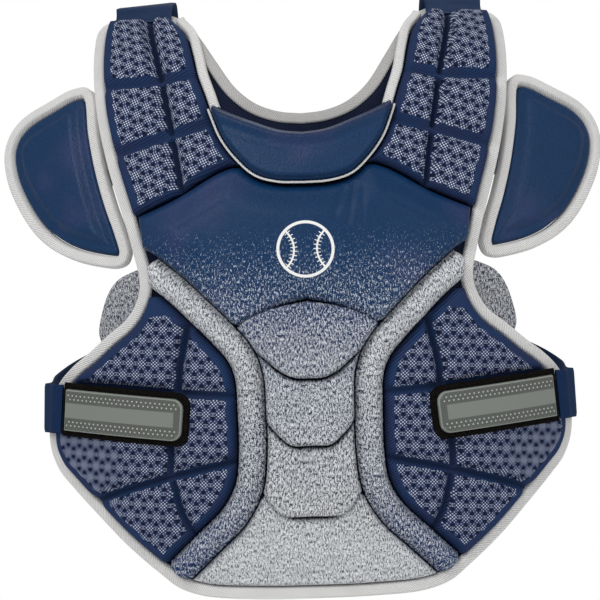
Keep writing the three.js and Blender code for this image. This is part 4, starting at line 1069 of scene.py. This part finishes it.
def swept(line, sections, sheet=BODY, closed=False):
    """Section points carried along a pattern line, each moved sideways by its inset and up by its height.
    One section may stand for them all"""
    sections = np.broadcast_to(sections, (len(line), *sections.shape[-2:]))
    loops = np.zeros((len(line), sections.shape[1], 3))
    for k in range(sections.shape[1]):
        moved = sideways(line, sections[:, k, 0], sheet, closed)
        loops[:, k] = sheet.place(moved, sections[:, k, 1])
    return loops


def make_edge_binding():
    """Ring of binding round the backing; it lies flatter round the neck, and painted shade darkens it there
    """
    line, ahead = edge_ring()
    step = np.minimum(np.arange(len(line)), len(line) - np.arange(len(line)))
    blend = soft_step(step, ahead + 2, ahead + 12)
    width = mm(trim().binding)
    low = wrap_section(mm(trim().neck_crown), 0.86 * width)
    high = wrap_section(mm(trim().crown), width)
    sections = low[None] * (1 - blend)[:, None, None] + high[None] * blend[:, None, None]
    loops = swept(line, sections, closed=True)
    shade = np.repeat(0.55 * (1 - soft_step(step, ahead - 22, ahead + 2)), sections.shape[1])
    tube_piece("edge_binding_tape", loops, "white_binding", ["edge_binding"], closed=True,
               marks={"shade": shade})


def make_wings():
    for side, mirror in SIDES:
        pattern = ruled(*(even(smooth(line), 60) for line in (WING_ROOT, WING_EDGE)), 50)
        place = BODY.place(pattern)
        thick = mm(pads().wing)
        base = WRAP_BACK - 0.5 - thick
        border = away(place, *rim(pattern))
        height = base + thick * rolled(border, 2.2) + shell_noise(place, 14, 5, 0.15)
        padded_piece(f"wing_flap_{side}", pattern, height, base, "heather_wing", [f"wing_{side}"],
                     mirror=mirror)


class PROTECTOR_OT_shoulders(bpy.types.Operator):
    """Quilted shoulder pads and the binding on their neck side"""

    bl_idname = "protector.shoulders"
    bl_label = "Shoulder pads"

    def execute(self, context):
        for side, mirror in SIDES:
            make_shoulder_pad(side, mirror)
            make_pad_edge_binding(side, mirror)
        return {"FINISHED"}


def quilted(name, pattern, grooves, thick, plain, finish, nodes, mirror, seed):
    """Quilted pad: height = thickness times the roll at the seams, less a dip along each groove, plus the
    crown of each block. Plain holds the width of the undotted strip along the first and last row and the
    inner and outer rail. Marks: field is 0 on plain cloth and 1 on dotted, and the mark of shade painted
    into the grooves is 1 in a groove"""
    place = BODY.place(pattern)
    edges = [away(place, edge) for edge in rim(pattern)]
    border = np.minimum.reduce(edges)
    rise = rolled(border, 6.0)
    field = np.minimum.reduce([soft_step(d, w - 3, w + 3) for d, w in zip(edges, plain)])
    least = np.full(border.shape, np.inf)
    dip, groove_shade = np.zeros(border.shape), np.zeros(border.shape)
    for line, width, depth, beside, dark in grooves:
        gap = away(place, BODY.place(smooth(line)))
        dip = np.maximum(dip, depth * np.exp(-(gap / width) ** 2))
        # Painted shade along the groove, scaled by the groove's darkness
        groove_shade = np.maximum(groove_shade, dark * np.exp(-(gap / (0.42 * width)) ** 2))
        field = np.minimum(field, soft_step(gap, beside - 2.2, beside + 2.2))
        least = np.minimum(least, gap)
    crown = 1.3 * (1 - np.exp(-(np.minimum(border, least) / 9.0) ** 2))
    height = PAD_BASE + (thick - 1.2) * rise * (1 - dip) + crown * rise + shell_noise(place, 16, seed)
    marks = {"field": field, "groove_shade": groove_shade}
    padded_piece(name, pattern, height, PAD_BASE, finish, nodes, mirror=mirror, marks=marks)


def make_shoulder_pad(side, mirror):
    """Rows between the neck rail and the binding; the lowest ones bend into the yoke seam"""
    inside = inside_line(0.5)
    seam = sideways(smooth(THROAT_SEAM), -0.5)
    neck = sideways(smooth(NECKLINE), mm(trim().binding) + 0.5)
    rows = 190
    yoke = smooth(YOKE_SEAM) - np.array([0, 0.5])
    outer = even(part_of(inside, PAD_TOP, 199.0), rows)
    start = np.array([max(across_at(seam, PAD_TOP), across_at(neck, PAD_TOP)), PAD_TOP])
    run = part_of(seam, 32.0, yoke[0, 1])
    inner = even(np.vstack([start, run]), rows)
    pattern = ruled(inner, outer, 110)
    pull = soft_step(np.linspace(0, 1, rows), 0.72, 1)[:, None]
    pattern[..., 1] += pull * (down_at(yoke, pattern[-1, :, 0]) - pattern[-1, :, 1])[None]
    quilted(f"shoulder_pad_{side}_quilt", pattern, SHOULDER_GROOVES, mm(pads().shoulder), (3, 5, 6, 10),
            "shoulder_mesh", [f"shoulder_pad_{side}"], mirror, 11)


def rim_section(low, crown, width):
    """Section of a binding on a pad's own edge: a domed face over a flat foot"""
    t = np.linspace(0, 1, 11)
    top = low + (crown - low) * np.clip(1 - (2 * t - 1.0) ** 6 * 0.96, 0, 1) ** 0.5
    face = np.stack([width * (1 - t), top], -1)
    return np.vstack([[width, low], face, [0.4, low], [0.5 * width, low]])


def make_pad_edge_binding(side, mirror):
    low = mm(trim().neck_crown) + 0.8
    width = mm(trim().binding) - 2.2
    seam = sideways(smooth(THROAT_SEAM), 0.5)
    line = sideways(part_of(seam, PAD_TOP, 122.0), width)[::-1]
    loops = swept(line, rim_section(low, low + mm(trim().crown), width))
    tube_piece(f"pad_edge_tape_{side}", loops, "white_binding", [f"pad_edge_binding_{side}"],
               mirror=mirror)


class PROTECTOR_OT_chest(bpy.types.Operator):
    """Chest plate, raised collar and the piping between them"""

    bl_idname = "protector.chest"
    bl_label = "Chest and collar"

    def execute(self, context):
        make_chest()
        make_collar()
        make_piping()
        return {"FINISHED"}


def both_halves(line):
    """A line that starts on the centre line, and its mirror image in front of it"""
    return np.vstack([(line[1:] * np.array([-1, 1]))[::-1], line])


def make_chest():
    """Grid between the throat and yoke seams above and the arch and flex bands below"""
    throat = sideways(smooth(THROAT_SEAM), -0.6)
    yoke = smooth(YOKE_SEAM) + np.array([0, 0.5])
    neck_part = throat[throat[:, 1] > yoke[0, 1] - 1][::-1]
    neck_part = np.vstack([[0, neck_part[0, 1]], neck_part[1:]])
    edge_in = inside_line(0.5)
    yoke = yoke[yoke[:, 0] < across_at(edge_in, 201.5)]
    arch = smooth(CHEST_ARCH) - np.array([0, 0.7])
    beside = band_side(11.2)
    beside = beside[(beside[:, 1] < arch[-1, 1] - 1) & (beside[:, 0] > arch[-1, 0] + 0.5)][::-1]
    armpit = np.array([across_at(edge_in, 226.0), 226.0])
    beside = beside[beside[:, 1] > armpit[1] + 2]
    n1, n2 = 46, 74
    top = np.vstack([even(neck_part, n1), even(np.vstack([neck_part[-1], yoke]), n2)[1:]])
    low = np.vstack([even(arch, n1), even(np.vstack([arch[-1], beside, armpit]), n2)[1:]])
    pattern = ruled(both_halves(top), both_halves(low), 110)
    place = BODY.place(pattern)
    border = away(place, *rim(pattern))
    at_yoke = away(place, rim(pattern)[2])
    rise = rolled(border, 7.0) * (1 - 0.25 * np.exp(-(at_yoke / 16.0) ** 2))
    soft = 0.8 + 0.2 * soft_step(border, 2.0, 26.0)
    creases = np.zeros(border.shape)
    for x0, y0, x1, y1, depth in ((30, 186, 22, 205, 1.1), (37, 184, 31, 212, 1.3), (43, 186, 40, 226, 0.9),
                                  (-60, 196, -92, 214, 0.7), (62, 194, 96, 212, 0.6)):
        line = BODY.place(np.linspace((x0, y0), (x1, y1), 12))
        creases += depth * np.exp(-(away(place, line) / 2.6) ** 2)
    height = PAD_BASE + mm(pads().chest) * rise * soft - creases * rise + shell_noise(place, 30, 21, 0.5)
    padded_piece("chest_plate_pad", pattern, height, PAD_BASE, "chest_leather", ["chest_plate"])


def make_collar():
    """Crescent between the collar's top edge and the throat seam, with a rolled upper lip"""
    n = 120
    low = sideways(smooth(THROAT_SEAM), 0.6)
    low = low[low[:, 1] > 117.5][::-1]
    low = np.vstack([[0, low[0, 1]], low[1:]])
    top = smooth(COLLAR_TOP)
    top[-1] = low[-1] + (-1.5, -0.5)
    pattern = ruled(both_halves(even(top, n)), both_halves(even(low, n)), 70)
    place = BODY.place(pattern)
    first, last, upper, lower = rim(pattern)
    from_top, from_low, from_end = away(place, upper), away(place, lower), away(place, first, last)
    rise = rolled(from_top, 9.0) * rolled(from_low, 5.0) * rolled(from_end, 2.5)
    lip = 1.6 * np.exp(-((from_top - 7.5) / 4.2) ** 2) - 1.1 * np.exp(-((from_top - 15.0) / 4.5) ** 2)
    height = PAD_BASE + (mm(pads().collar) - 1.2) * rise + lip * rise + shell_noise(place, 22, 31, 0.35)
    # This mark paints a highlight along the rolled top lip
    marks = {"lip": np.exp(-((from_top - 5.0) / 4.0) ** 2)}
    padded_piece("collar_pad", pattern, height, PAD_BASE, "navy_leather", ["collar"], marks=marks)


def make_piping():
    """Round cord in the seam under the collar"""
    radius = mm(trim().piping) / 2
    seam = smooth(THROAT_SEAM, 1.5)
    half = seam[seam[:, 1] > 122][::-1]
    line = both_halves(np.vstack([[0, half[0, 1]], half[1:]]))
    angle = np.arange(10) / 10 * 2 * math.pi
    height = PIPING_HEIGHT + 0.3 * speckle(BODY.place(line), 6, 3)
    sections = np.stack([np.broadcast_to(radius * np.cos(angle), (len(line), 10)),
                         height[:, None] + radius * np.sin(angle)], -1)
    loops = swept(line, sections)
    tube_piece("collar_piping_cord", loops, "white_binding", ["collar_piping"])


class PROTECTOR_OT_middle(bpy.types.Operator):
    """Middle pads, apron and the two flex bands"""

    bl_idname = "protector.middle"
    bl_label = "Middle pads and bands"

    def execute(self, context):
        edges = (CHEST_ARCH, *SCALE_EDGES)
        names = ("scale_upper", "scale_middle", "scale_lower")
        for i, name in enumerate(names):
            make_scale(name, edges[i], edges[i + 1], mm(pads().scale) - 2 * i)
        make_apron()
        for side, mirror in SIDES:
            make_band(side, mirror)
        return {"FINISHED"}


def make_scale(name, above, below, thick):
    """Lobe between the edge above and its own low edge; the seam above is low and soft, as if tucked"""
    top, low = smooth(above) + np.array([0, 0.6]), smooth(below) - np.array([0, 0.6])
    pattern = ruled(both_halves(even(top, 60)), both_halves(even(low, 60)), 100)
    limit = across_at(band_side(CORE_SIDE), pattern[..., 1])
    reach = np.abs(pattern[..., 0]).max(axis=0)
    pattern[..., 0] *= (limit / np.maximum(reach, 1e-6)[None])
    place = BODY.place(pattern)
    first, last, upper, lower = rim(pattern)
    from_top, from_low, from_side = away(place, upper), away(place, lower), away(place, first, last)
    tucked = rolled(from_top, 2.0) * (0.72 + 0.28 * soft_step(from_top, 0.0, 22.0))
    flank = rolled(from_side, 4.0) * (0.86 + 0.14 * soft_step(from_side, 0, 12))
    rise = tucked * rolled(from_low, 4.5) * flank
    height = PAD_BASE + thick * rise + shell_noise(place, 18, 41, 0.3)
    padded_piece(f"{name}_pad", pattern, height, PAD_BASE, "heather", [name])


def make_apron():
    """Flat lobe from the lowest scale to the hem, wide at the foot between the bands"""
    core = band_side(CORE_SIDE)
    top = smooth(SCALE_EDGES[2]) + np.array([0, 0.7])
    last = top[-1]
    flank = core[core[:, 1] > last[1] + 2]
    hem = inside_hem(FLANK_END)
    n1, n2 = 40, 50
    corner_across = flank[-1, 0]
    upper = np.vstack([even(top, n1), even(np.vstack([last, flank]), n2)[1:]])
    foot_x = np.concatenate([np.linspace(0, 0.62 * corner_across, n1),
                             np.linspace(0.62 * corner_across, corner_across, n2)[1:]])
    foot = np.stack([foot_x, np.maximum(down_at(hem, foot_x), upper[:, 1] + 0.4)], -1)
    foot[0, 1] = down_at(hem, 0.0)
    pattern = ruled(both_halves(upper), both_halves(foot), 80)
    place = BODY.place(pattern)
    border = away(place, *rim(pattern))
    down = pattern[..., 1]
    height = PAD_BASE + mm(pads().apron) * rolled(border, 5.0) * (0.85 + 0.15 * soft_step(border, 0, 20))
    height = height + shell_noise(place, 26, 51, 0.5) - 0.8 * np.exp(-((down - 478) / 5.0) ** 2)
    padded_piece("apron_pad", pattern, height, PAD_BASE, "heather", ["apron"])


def make_band(side, mirror):
    """Rounded ridge along the band's middle line, with a stitched flat on each side"""
    line = smooth(BAND_LINE, 1.6)
    inside = inside_line(0.6)
    inside = inside[inside[:, 1] < FLANK_END]
    line = line[line[:, 0] < across_at(inside, line[:, 1]) + 6]
    half = 10.6
    share = spread(46, 0.45)
    grid = np.stack([sideways(line, half * (1 - 2 * s)) for s in share], 1)
    grid[..., 0] = np.minimum(grid[..., 0], across_at(inside, grid[..., 1]))
    grid[..., 1] = np.minimum(grid[..., 1], down_at(inside_hem(FLANK_END - 10), grid[..., 0]))
    place = BODY.place(grid)
    t = np.abs(2 * share - 1)[None]
    ends = away(place, *rim(grid)[:2])
    flat = 3.2 * rolled((1 - t) * half, 1.2)
    ridge = (mm(pads().band) - 3.2) * np.clip(1 - (t / 0.88) ** 2.4, 0, 1) ** 0.62
    height = PAD_BASE + (flat + ridge) * rolled(ends, 5.0) + shell_noise(place, 14, 61, 0.25)
    height = np.where((t >= 1) | (ends <= 0), PAD_BASE, height)
    padded_piece(f"flex_band_{side}_ridge", grid, height, PAD_BASE, "heather_band", [f"flex_band_{side}"],
                 mirror=mirror)


class PROTECTOR_OT_flanks(bpy.types.Operator):
    """Quilted pads at the sides"""

    bl_idname = "protector.flanks"
    bl_label = "Side pads"

    def execute(self, context):
        for side, mirror in SIDES:
            make_side_pad(side, mirror)
        return {"FINISHED"}


def make_side_pad(side, mirror):
    """Lens between the flex band and the edge binding"""
    inner_line = band_side(-11.2)
    outer_line = inside_line(0.5)
    downs = SIDE_PAD_FROM + (SIDE_PAD_TO - SIDE_PAD_FROM) * spread(210, 0.35)
    outer_part = outer_line[: int(np.argmax(outer_line[:, 1] > 484))]
    inner = np.stack([across_at(inner_line, downs), downs], -1)
    outer = np.stack([across_at(outer_part, downs), downs], -1)
    inner[:, 0] = np.minimum(inner[:, 0], outer[:, 0] - 0.6)
    pattern = ruled(inner, outer, 130)
    quilted(f"side_pad_{side}_quilt", pattern, SIDE_GROOVES, mm(pads().side), (16, 8, 6.5, 9), "side_mesh",
            [f"side_pad_{side}"], mirror, 71)


class PROTECTOR_OT_caps(bpy.types.Operator):
    """Arm caps with their binding, and the strips that hold them"""

    bl_idname = "protector.caps"
    bl_label = "Arm caps"

    def execute(self, context):
        for side, mirror in SIDES:
            make_cap(side, mirror)
            make_cap_tab(side, mirror)
        return {"FINISHED"}


def make_cap(side, mirror):
    """Plate as rings that shrink from the cap's outline to a point of its middle; height grows in two
    bevels"""
    edge = smooth(CAP_OUTLINE, 2.2, closed=True)[:-1]
    width = mm(trim().binding)
    inner = sideways(edge, width + 0.3, CAP_SHEET, closed=True)
    middle = inner.mean(axis=0)
    share = np.linspace(0, 1, 40)[:-1]
    rings = inner[None] * (1 - share)[:, None, None] + middle * share[:, None, None]
    count = rings.shape[1]
    place = CAP_SHEET.place(rings)
    border = away(place, CAP_SHEET.place(np.vstack([inner, inner[:1]])))
    thick = mm(pads().cap)
    height = CAP_BASE + 0.55 * thick * rolled(border, 3.0) + 0.45 * thick * soft_step(border, 7.0, 15.0)
    height = height + shell_noise(place, 24, 81, 0.3)
    upper = CAP_SHEET.place(rings, height)
    lower = CAP_SHEET.place(rings, CAP_BASE)[1:]
    top_point = CAP_SHEET.place(middle[None], height[-1].mean())
    low_point = CAP_SHEET.place(middle[None], CAP_BASE)
    points = np.vstack([upper.reshape(-1, 3), lower.reshape(-1, 3), top_point, low_point])
    points = points * np.array([mirror, 1, 1])
    up_index = np.arange(len(rings) * count).reshape(len(rings), count)
    low_index = up_index.copy()
    low_index[1:] = len(rings) * count + np.arange((len(rings) - 1) * count).reshape(-1, count)
    ring_quads = grid_quads(len(rings), count, wrap_columns=True)
    quads = np.vstack([ring_quads, low_index.ravel()[ring_quads][:, ::-1]])
    caps = []
    for index, tip, flip in ((up_index, len(points) - 2, 1), (low_index, len(points) - 1, -1)):
        last = index[-1].tolist()
        caps += [[a, tip, b][::flip] for a, b in zip(last, last[1:] + last[:1])]
    flat = np.vstack([rings.reshape(-1, 2), rings[1:].reshape(-1, 2), middle[None], middle[None]])
    make_piece(f"arm_cap_{side}_plate", points, quads, "navy_leather", [f"arm_cap_{side}"],
               flat[quads], caps=caps)
    loops = swept(edge, rim_section(CAP_BASE, mm(trim().crown), width), CAP_SHEET, True)
    tube_piece(f"arm_cap_tape_{side}", loops, "white_binding", [f"arm_cap_binding_{side}"],
               closed=True, mirror=mirror)


def ribbon_loops(points, across, width, thickness, steps=14):
    """Flat strap: loops of a rounded rectangle square to the run, with their wide side along across"""
    run = np.gradient(points, axis=0)
    wide = across / np.linalg.norm(across, axis=1, keepdims=True)
    thick = np.cross(wide, run)
    thick /= np.linalg.norm(thick, axis=1, keepdims=True)
    t = np.linspace(-1, 1, steps)
    top = np.stack([t * width / 2, np.full(steps, thickness / 2)], -1)
    top[0, 1] = top[-1, 1] = thickness * 0.22
    section = np.vstack([top, (top * np.array([1, -1]))[::-1]])
    return points[:, None] + section[None, :, :1] * wide[:, None] + section[None, :, 1:] * thick[:, None]


def mixed(at, known, vectors):
    """Vectors at some lengths, mixed from those at the known lengths"""
    vectors = np.array(vectors)
    return np.stack([np.interp(at, known, vectors[:, k]) for k in range(3)], -1)


def make_cap_tab(side, mirror):
    """Strip from behind the body's edge to behind the cap"""
    down = 148.0
    edge = across_at(side_edge(), down)
    body_rear, cap_rear = -BACKING - 2.5, CAP_BASE
    points, wide = [], []
    for sheet, low, places in (
        (BODY, body_rear, (edge - 36, edge - 26, edge - 16)),
        (CAP_SHEET, cap_rear, (edge - CAP_HINGE, edge - CAP_HINGE + 14, edge - CAP_HINGE + 32)),
    ):
        for a in places:
            height = low - 1.1 - mm(trim().webbing) / 2
            points.append(sheet.place(np.array([a, down]), height))
            ends = sheet.place(np.array([[a, down - 1], [a, down + 1]]), height)
            wide.append(ends[1] - ends[0])
    line = smooth(points, 3.0)
    wide = mixed(np.linspace(0, 1, len(line)), np.linspace(0, 1, len(points)), wide)
    loops = ribbon_loops(line, wide, CAP_STRIP, mm(trim().webbing))
    tube_piece(f"arm_cap_strip_{side}", loops, "webbing", [f"arm_cap_tab_{side}"], mirror=mirror)


class PROTECTOR_OT_fastening(bpy.types.Operator):
    """Rubber tabs, hook patches and the elastic straps round the sides"""

    bl_idname = "protector.fastening"
    bl_label = "Tabs and side straps"

    def execute(self, context):
        for side, mirror in SIDES:
            make_tab(side, mirror)
            make_side_strap(side, mirror)
        return {"FINISHED"}


TAB_ACROSS, TAB_DOWN, TAB_TILT = 141.0, 351.0, math.radians(5.7)
PATCH_BASE = 14.6
PATCH_SHOWS = 4.5


def half_width(wide, corner, from_end):
    """Half the width of a plate with round corners, at some distance from its end"""
    into = np.clip(from_end, 0, corner)
    return wide / 2 - corner + np.sqrt(np.clip(corner ** 2 - (corner - into) ** 2, 0, None))


def tab_grid(long, wide, corner, columns=40, rows=90):
    """Plate with round corners at its inner end: rows along it, each as wide as its outline there"""
    along = -long / 2 + long * spread(rows, 0.45)
    half = half_width(wide, corner, along + long / 2)
    share = 2 * spread(columns, 0.45) - 1
    return np.stack([np.broadcast_to(along[:, None], (rows, columns)), half[:, None] * share[None]], -1)


def tab_pattern(local):
    """Tab's own length and width to the body's flat pattern"""
    c, s = math.cos(TAB_TILT), math.sin(TAB_TILT)
    return np.stack([TAB_ACROSS + local[..., 0] * c + local[..., 1] * s,
                     TAB_DOWN - local[..., 0] * s + local[..., 1] * c], -1)


def make_tab(side, mirror):
    long, wide = mm(trim().tab), mm(trim().tab_width)
    local = tab_grid(long, wide, 8.0)
    border = flat_border(local)
    base = PATCH_BASE + 2.5
    height = base + 3.0 * rolled(border, 1.4) + 0.3 * soft_step(2.2 - border, 0, 0.8) * (border > 0)
    height = np.where(border <= 0, base, height)
    padded_piece(f"rubber_tab_{side}_plate", tab_pattern(local), height, base, "rubber",
                 [f"rubber_tab_{side}"], mirror=mirror, marks={"rim": border}, flat=local)
    local = tab_grid(long + 2 * PATCH_SHOWS, wide + 2 * PATCH_SHOWS, 10.0, 30, 60)
    border = flat_border(local)
    height = np.where(border <= 0, PATCH_BASE, PATCH_BASE + 2.0 * rolled(border, 1.0))
    padded_piece(f"hook_patch_{side}_plate", tab_pattern(local), height, PATCH_BASE, "hook_fabric",
                 [f"hook_patch_{side}"], mirror=mirror, flat=local)


def make_side_strap(side, mirror):
    """Strap from the patch round the flank and across the back to the plate"""
    start = mm(trim().tab) / 2 + PATCH_SHOWS + 0.5
    across = TAB_ACROSS + start * math.cos(TAB_TILT)
    down = TAB_DOWN - start * math.sin(TAB_TILT)
    line = side_edge()
    edge = across_at(line[line[:, 1] < FLANK_END], down)
    clear = mm(trim().webbing) / 2 + 0.8
    over = PATCH_BASE + 1.0
    width = mm(trim().binding)
    wrapped = [(across, over), (edge - width - 4.1, over), (edge - 0.8 * width, 0.7 * over),
               (edge - 0.3 * width, mm(trim().crown) + 2 * clear), (edge + clear + 1.8, mm(trim().crown)),
               (edge + clear + 2.8, -BACKING)]
    points = [BODY.place(np.array([a, down]), h) for a, h in wrapped]
    reach = points[-1]
    rear = BACK_FACE + clear
    end = np.array([STRAP_END, rear, PLATE_TOP - 0.78 * PLATE_SIZE[1]])
    for s, d, r in ((0.99, 0.25, 0.1), (0.92, 0.5, 0.3), (0.78, 0.76, 0.55), (0.58, 0.93, 0.8)):
        back, up = reach[1] + (rear - reach[1]) * d, reach[2] + (end[2] - reach[2]) * r
        points.append(np.array([s * reach[0], back, up]))
    points += [np.array([70.0, rear, end[2]]), end]
    line = smooth(points, 3.0)
    first = BODY.place(np.array([across - math.sin(TAB_TILT), down - math.cos(TAB_TILT)]), over) - points[0]
    blend = soft_step(lengths(line), 0, 60)[:, None]
    wide = first[None] * (1 - blend) + np.array([[0.0, 0, 1]]) * blend
    loops = ribbon_loops(line, wide, mm(trim().strap), mm(trim().webbing))
    tube_piece(f"side_strap_{side}_elastic", loops, "webbing", [f"side_strap_{side}"], mirror=mirror)


class PROTECTOR_OT_harness(bpy.types.Operator):
    """Straps over the shoulders and the plate at the back"""

    bl_idname = "protector.harness"
    bl_label = "Back harness"

    def execute(self, context):
        for side, mirror in SIDES:
            make_shoulder_strap(side, mirror)
        make_back_pad()
        return {"FINISHED"}


def make_shoulder_strap(side, mirror):
    """Strap that follows the side profile over the shoulder, drops to the back and slants to the plate"""
    width, thick = mm(trim().shoulder_strap), mm(trim().webbing)
    middle = 100 + width / 2 + 1
    height = mm(trim().neck_crown) + 0.8 + thick / 2
    front = np.array([BODY.place(np.array([middle, d]), height) for d in (24.3, 17.0, 8.0)])
    ends = BODY.place(np.array([[middle - 1, 8.0], [middle + 1, 8.0]]), height)
    wide_front = ends[1] - ends[0]
    top = front[-1]
    lift = top[2] - SHOULDER_TOP - float(side_profile(8.0)[2])
    rear = BACK_FACE + 0.8 + thick / 2
    over_length = SHOULDER_RADIUS * (math.pi / 2 - SHOULDER_LEAN) + NAPE_RADIUS * math.pi / 2
    share = (np.arange(12) + 1) / 12
    _, back, up = side_profile(-share * over_length)
    full = float(side_profile(-over_length)[1])
    over_y = top[1] + (rear - top[1]) * back / full
    over = np.stack([np.full(12, top[0]), over_y, SHOULDER_TOP + up + lift], -1)
    lean = 0.09 * np.sin(math.pi * share)
    over[:, 2] -= 3.0 * np.sin(math.pi * share)
    corner, end = over[-1], np.array([STRAP_END, rear, PLATE_TOP - 0.15 * PLATE_SIZE[1]])
    fall = [np.array([corner[0] + (end[0] - corner[0]) * a, rear, corner[2] + (end[2] - corner[2]) * b])
            for a, b in ((0.07, 0.12), (0.25, 0.3), (0.58, 0.6), (1.0, 1.0))]
    points = np.vstack([front, over, fall])
    slant = np.array([-(end - corner)[2], 0, (end - corner)[0]])
    slant /= np.linalg.norm(slant)
    level = np.array([1.0, 0, 0])
    turn = wide_front / np.linalg.norm(wide_front)
    wide = [turn] * 3
    wide += [turn + (level - turn) * min((i + 1) / 5, 1) - np.array([0, 0, lean[i]]) for i in range(12)]
    wide += [level + (slant - level) * s for s in (0.3, 0.8, 1, 1)]
    line = smooth(points, 3.0)
    raw = lengths(points)
    loops = ribbon_loops(line, mixed(np.linspace(0, raw[-1], len(line)), raw, wide), width, thick, 18)
    tube_piece(f"shoulder_strap_{side}_elastic", loops, "webbing", [f"shoulder_strap_{side}"],
               mirror=mirror)


def make_back_pad():
    """Rounded plate with a soft rim and two shallow channels on the wearer's side"""
    wide, tall = PLATE_SIZE
    y = -tall + tall * spread(90, 0.5)
    half = half_width(wide, 24.0, np.minimum(-y, tall + y))
    share = 2 * spread(80, 0.5) - 1
    across = half[:, None] * share[None]
    down = np.broadcast_to(y[:, None], across.shape)
    border = flat_border(np.stack([across, down], -1))
    channel = np.exp(-((np.abs(across) - 22) / 2.2) ** 2) * soft_step(border, 6, 14)
    middle = BACK_FACE - PLATE_HALF
    thick = PLATE_HALF * rolled(border, 3.0)
    front = np.where(border <= 0, middle, middle - thick + 1.2 * channel)
    back = np.where(border <= 0, middle, middle + thick)
    faces = [np.stack([across, face, PLATE_TOP + down], -1) for face in (front, back)]
    quads = two_faced(*across.shape)
    flat = with_inside(np.stack([across, down], -1))
    make_piece("back_plate_pad", with_inside(*faces), quads, "lining", ["back_pad"], flat[quads])


class PROTECTOR_OT_stage(bpy.types.Operator):
    """Pale floor, white surround, soft lights and the camera"""

    bl_idname = "protector.stage"
    bl_label = "Studio"

    def execute(self, context):
        studio = context.scene.protector_studio
        make_floor(studio)
        make_lights(studio)
        make_camera(studio)
        context.scene.view_settings.view_transform = "Standard"
        return {"FINISHED"}


def make_floor(studio):
    """Round floor: rings of quads about a middle polygon"""
    count, around = 12, 96
    angle = np.linspace(0, 2 * math.pi, around + 1)[:-1]
    radius = np.linspace(0.05, 1.45, count)
    rings = np.stack([radius[:, None] * np.cos(angle), radius[:, None] * np.sin(angle),
                      np.full((count, around), -studio.floor_drop)], -1)
    mesh = bpy.data.meshes.new("studio_floor")
    quads = grid_quads(count, around, wrap_columns=True)
    mesh.from_pydata(rings.reshape(-1, 3).tolist(), [], [*quads.tolist(), list(range(around))])
    mesh.materials.append(material("studio_floor"))
    floor = bpy.data.objects.new("studio_floor", mesh)
    bpy.context.scene.collection.objects.link(floor)


def make_lights(studio):
    places = (
        ("key_light", (-1.1, -2.0, 1.5), 1.6, studio.key),
        ("fill_light", (1.6, -1.7, 0.5), 1.8, studio.fill),
        ("back_light", (0.3, 1.8, 1.4), 1.5, studio.fill),
    )
    for name, place, size, power in places:
        lamp = bpy.data.lights.new(name, "AREA")
        lamp.size = size
        lamp.energy = power
        light = bpy.data.objects.new(name, lamp)
        light.location = place
        aim = Vector((0, 0, -0.22)) - Vector(place)
        light.rotation_euler = aim.to_track_quat("-Z", "Y").to_euler()
        bpy.context.scene.collection.objects.link(light)
    world = bpy.data.worlds.new("white_surround")
    world.use_nodes = True
    tree = world.node_tree
    path = tree.nodes.new("ShaderNodeLightPath")
    mix = tree.nodes.new("ShaderNodeMixShader")
    tree.links.new(path.outputs["Is Camera Ray"], mix.inputs[0])
    shades = (tree.nodes["Background"], studio.air), (tree.nodes.new("ShaderNodeBackground"), 1.0)
    for place, (shade, strength) in enumerate(shades, 1):
        shade.inputs[0].default_value = (1, 1, 1, 1)
        shade.inputs[1].default_value = strength
        tree.links.new(shade.outputs[0], mix.inputs[place])
    tree.links.new(mix.outputs[0], tree.nodes["World Output"].inputs[0])
    bpy.context.scene.world = world


def make_camera(studio):
    """Camera in front of the chest; the picture's middle lies 7 of its 600 pixels beside the centre line"""
    lens = bpy.data.cameras.new("camera")
    lens.sensor_width = 36.0
    lens.lens = 36.0 * studio.distance / studio.view_width
    lens.shift_x = -7 / 600
    camera = bpy.data.objects.new("camera", lens)
    turn = Matrix.Rotation(math.radians(90), 4, "X") @ Matrix.Rotation(-studio.roll, 4, "Z")
    place = Matrix.Translation((0, -TORSO_DEPTH / 2 * MM - studio.distance, -studio.axis_height))
    camera.matrix_world = place @ turn
    bpy.context.scene.collection.objects.link(camera)
    bpy.context.scene.camera = camera


class PROTECTOR_PT_panel(bpy.types.Panel):
    """Sizes, colours and steps of the chest protector"""

    bl_idname = "PROTECTOR_PT_panel"
    bl_label = "Chest protector"
    bl_space_type = "VIEW_3D"
    bl_region_type = "UI"
    bl_category = "Protector"

    def draw(self, context):
        layout = self.layout
        for step in STEPS:
            layout.operator(step.bl_idname)
        for group in ("protector_pads", "protector_trim", "protector_colours", "protector_studio"):
            box = layout.box()
            owner = getattr(context.scene, group)
            for key in owner.__annotations__:
                box.prop(owner, key)


STEPS = (
    PROTECTOR_OT_stage,
    PROTECTOR_OT_backing,
    PROTECTOR_OT_shoulders,
    PROTECTOR_OT_chest,
    PROTECTOR_OT_middle,
    PROTECTOR_OT_flanks,
    PROTECTOR_OT_caps,
    PROTECTOR_OT_fastening,
    PROTECTOR_OT_harness,
)
GROUPS = {
    "protector_pads": ProtectorPads,
    "protector_trim": ProtectorTrim,
    "protector_colours": ProtectorColours,
    "protector_studio": ProtectorStudio,
}


def register():
    for name, group in GROUPS.items():
        bpy.utils.register_class(group)
        setattr(bpy.types.Scene, name, PointerProperty(type=group))
    for step in STEPS:
        bpy.utils.register_class(step)
    bpy.utils.register_class(PROTECTOR_PT_panel)


def unregister():
    bpy.utils.unregister_class(PROTECTOR_PT_panel)
    for step in reversed(STEPS):
        bpy.utils.unregister_class(step)
    for name, group in GROUPS.items():
        delattr(bpy.types.Scene, name)
        bpy.utils.unregister_class(group)


def main():
    register()
    for step in STEPS:
        group, name = step.bl_idname.split(".")
        getattr(getattr(bpy.ops, group), name)()


if __name__ == "__main__":
    main()
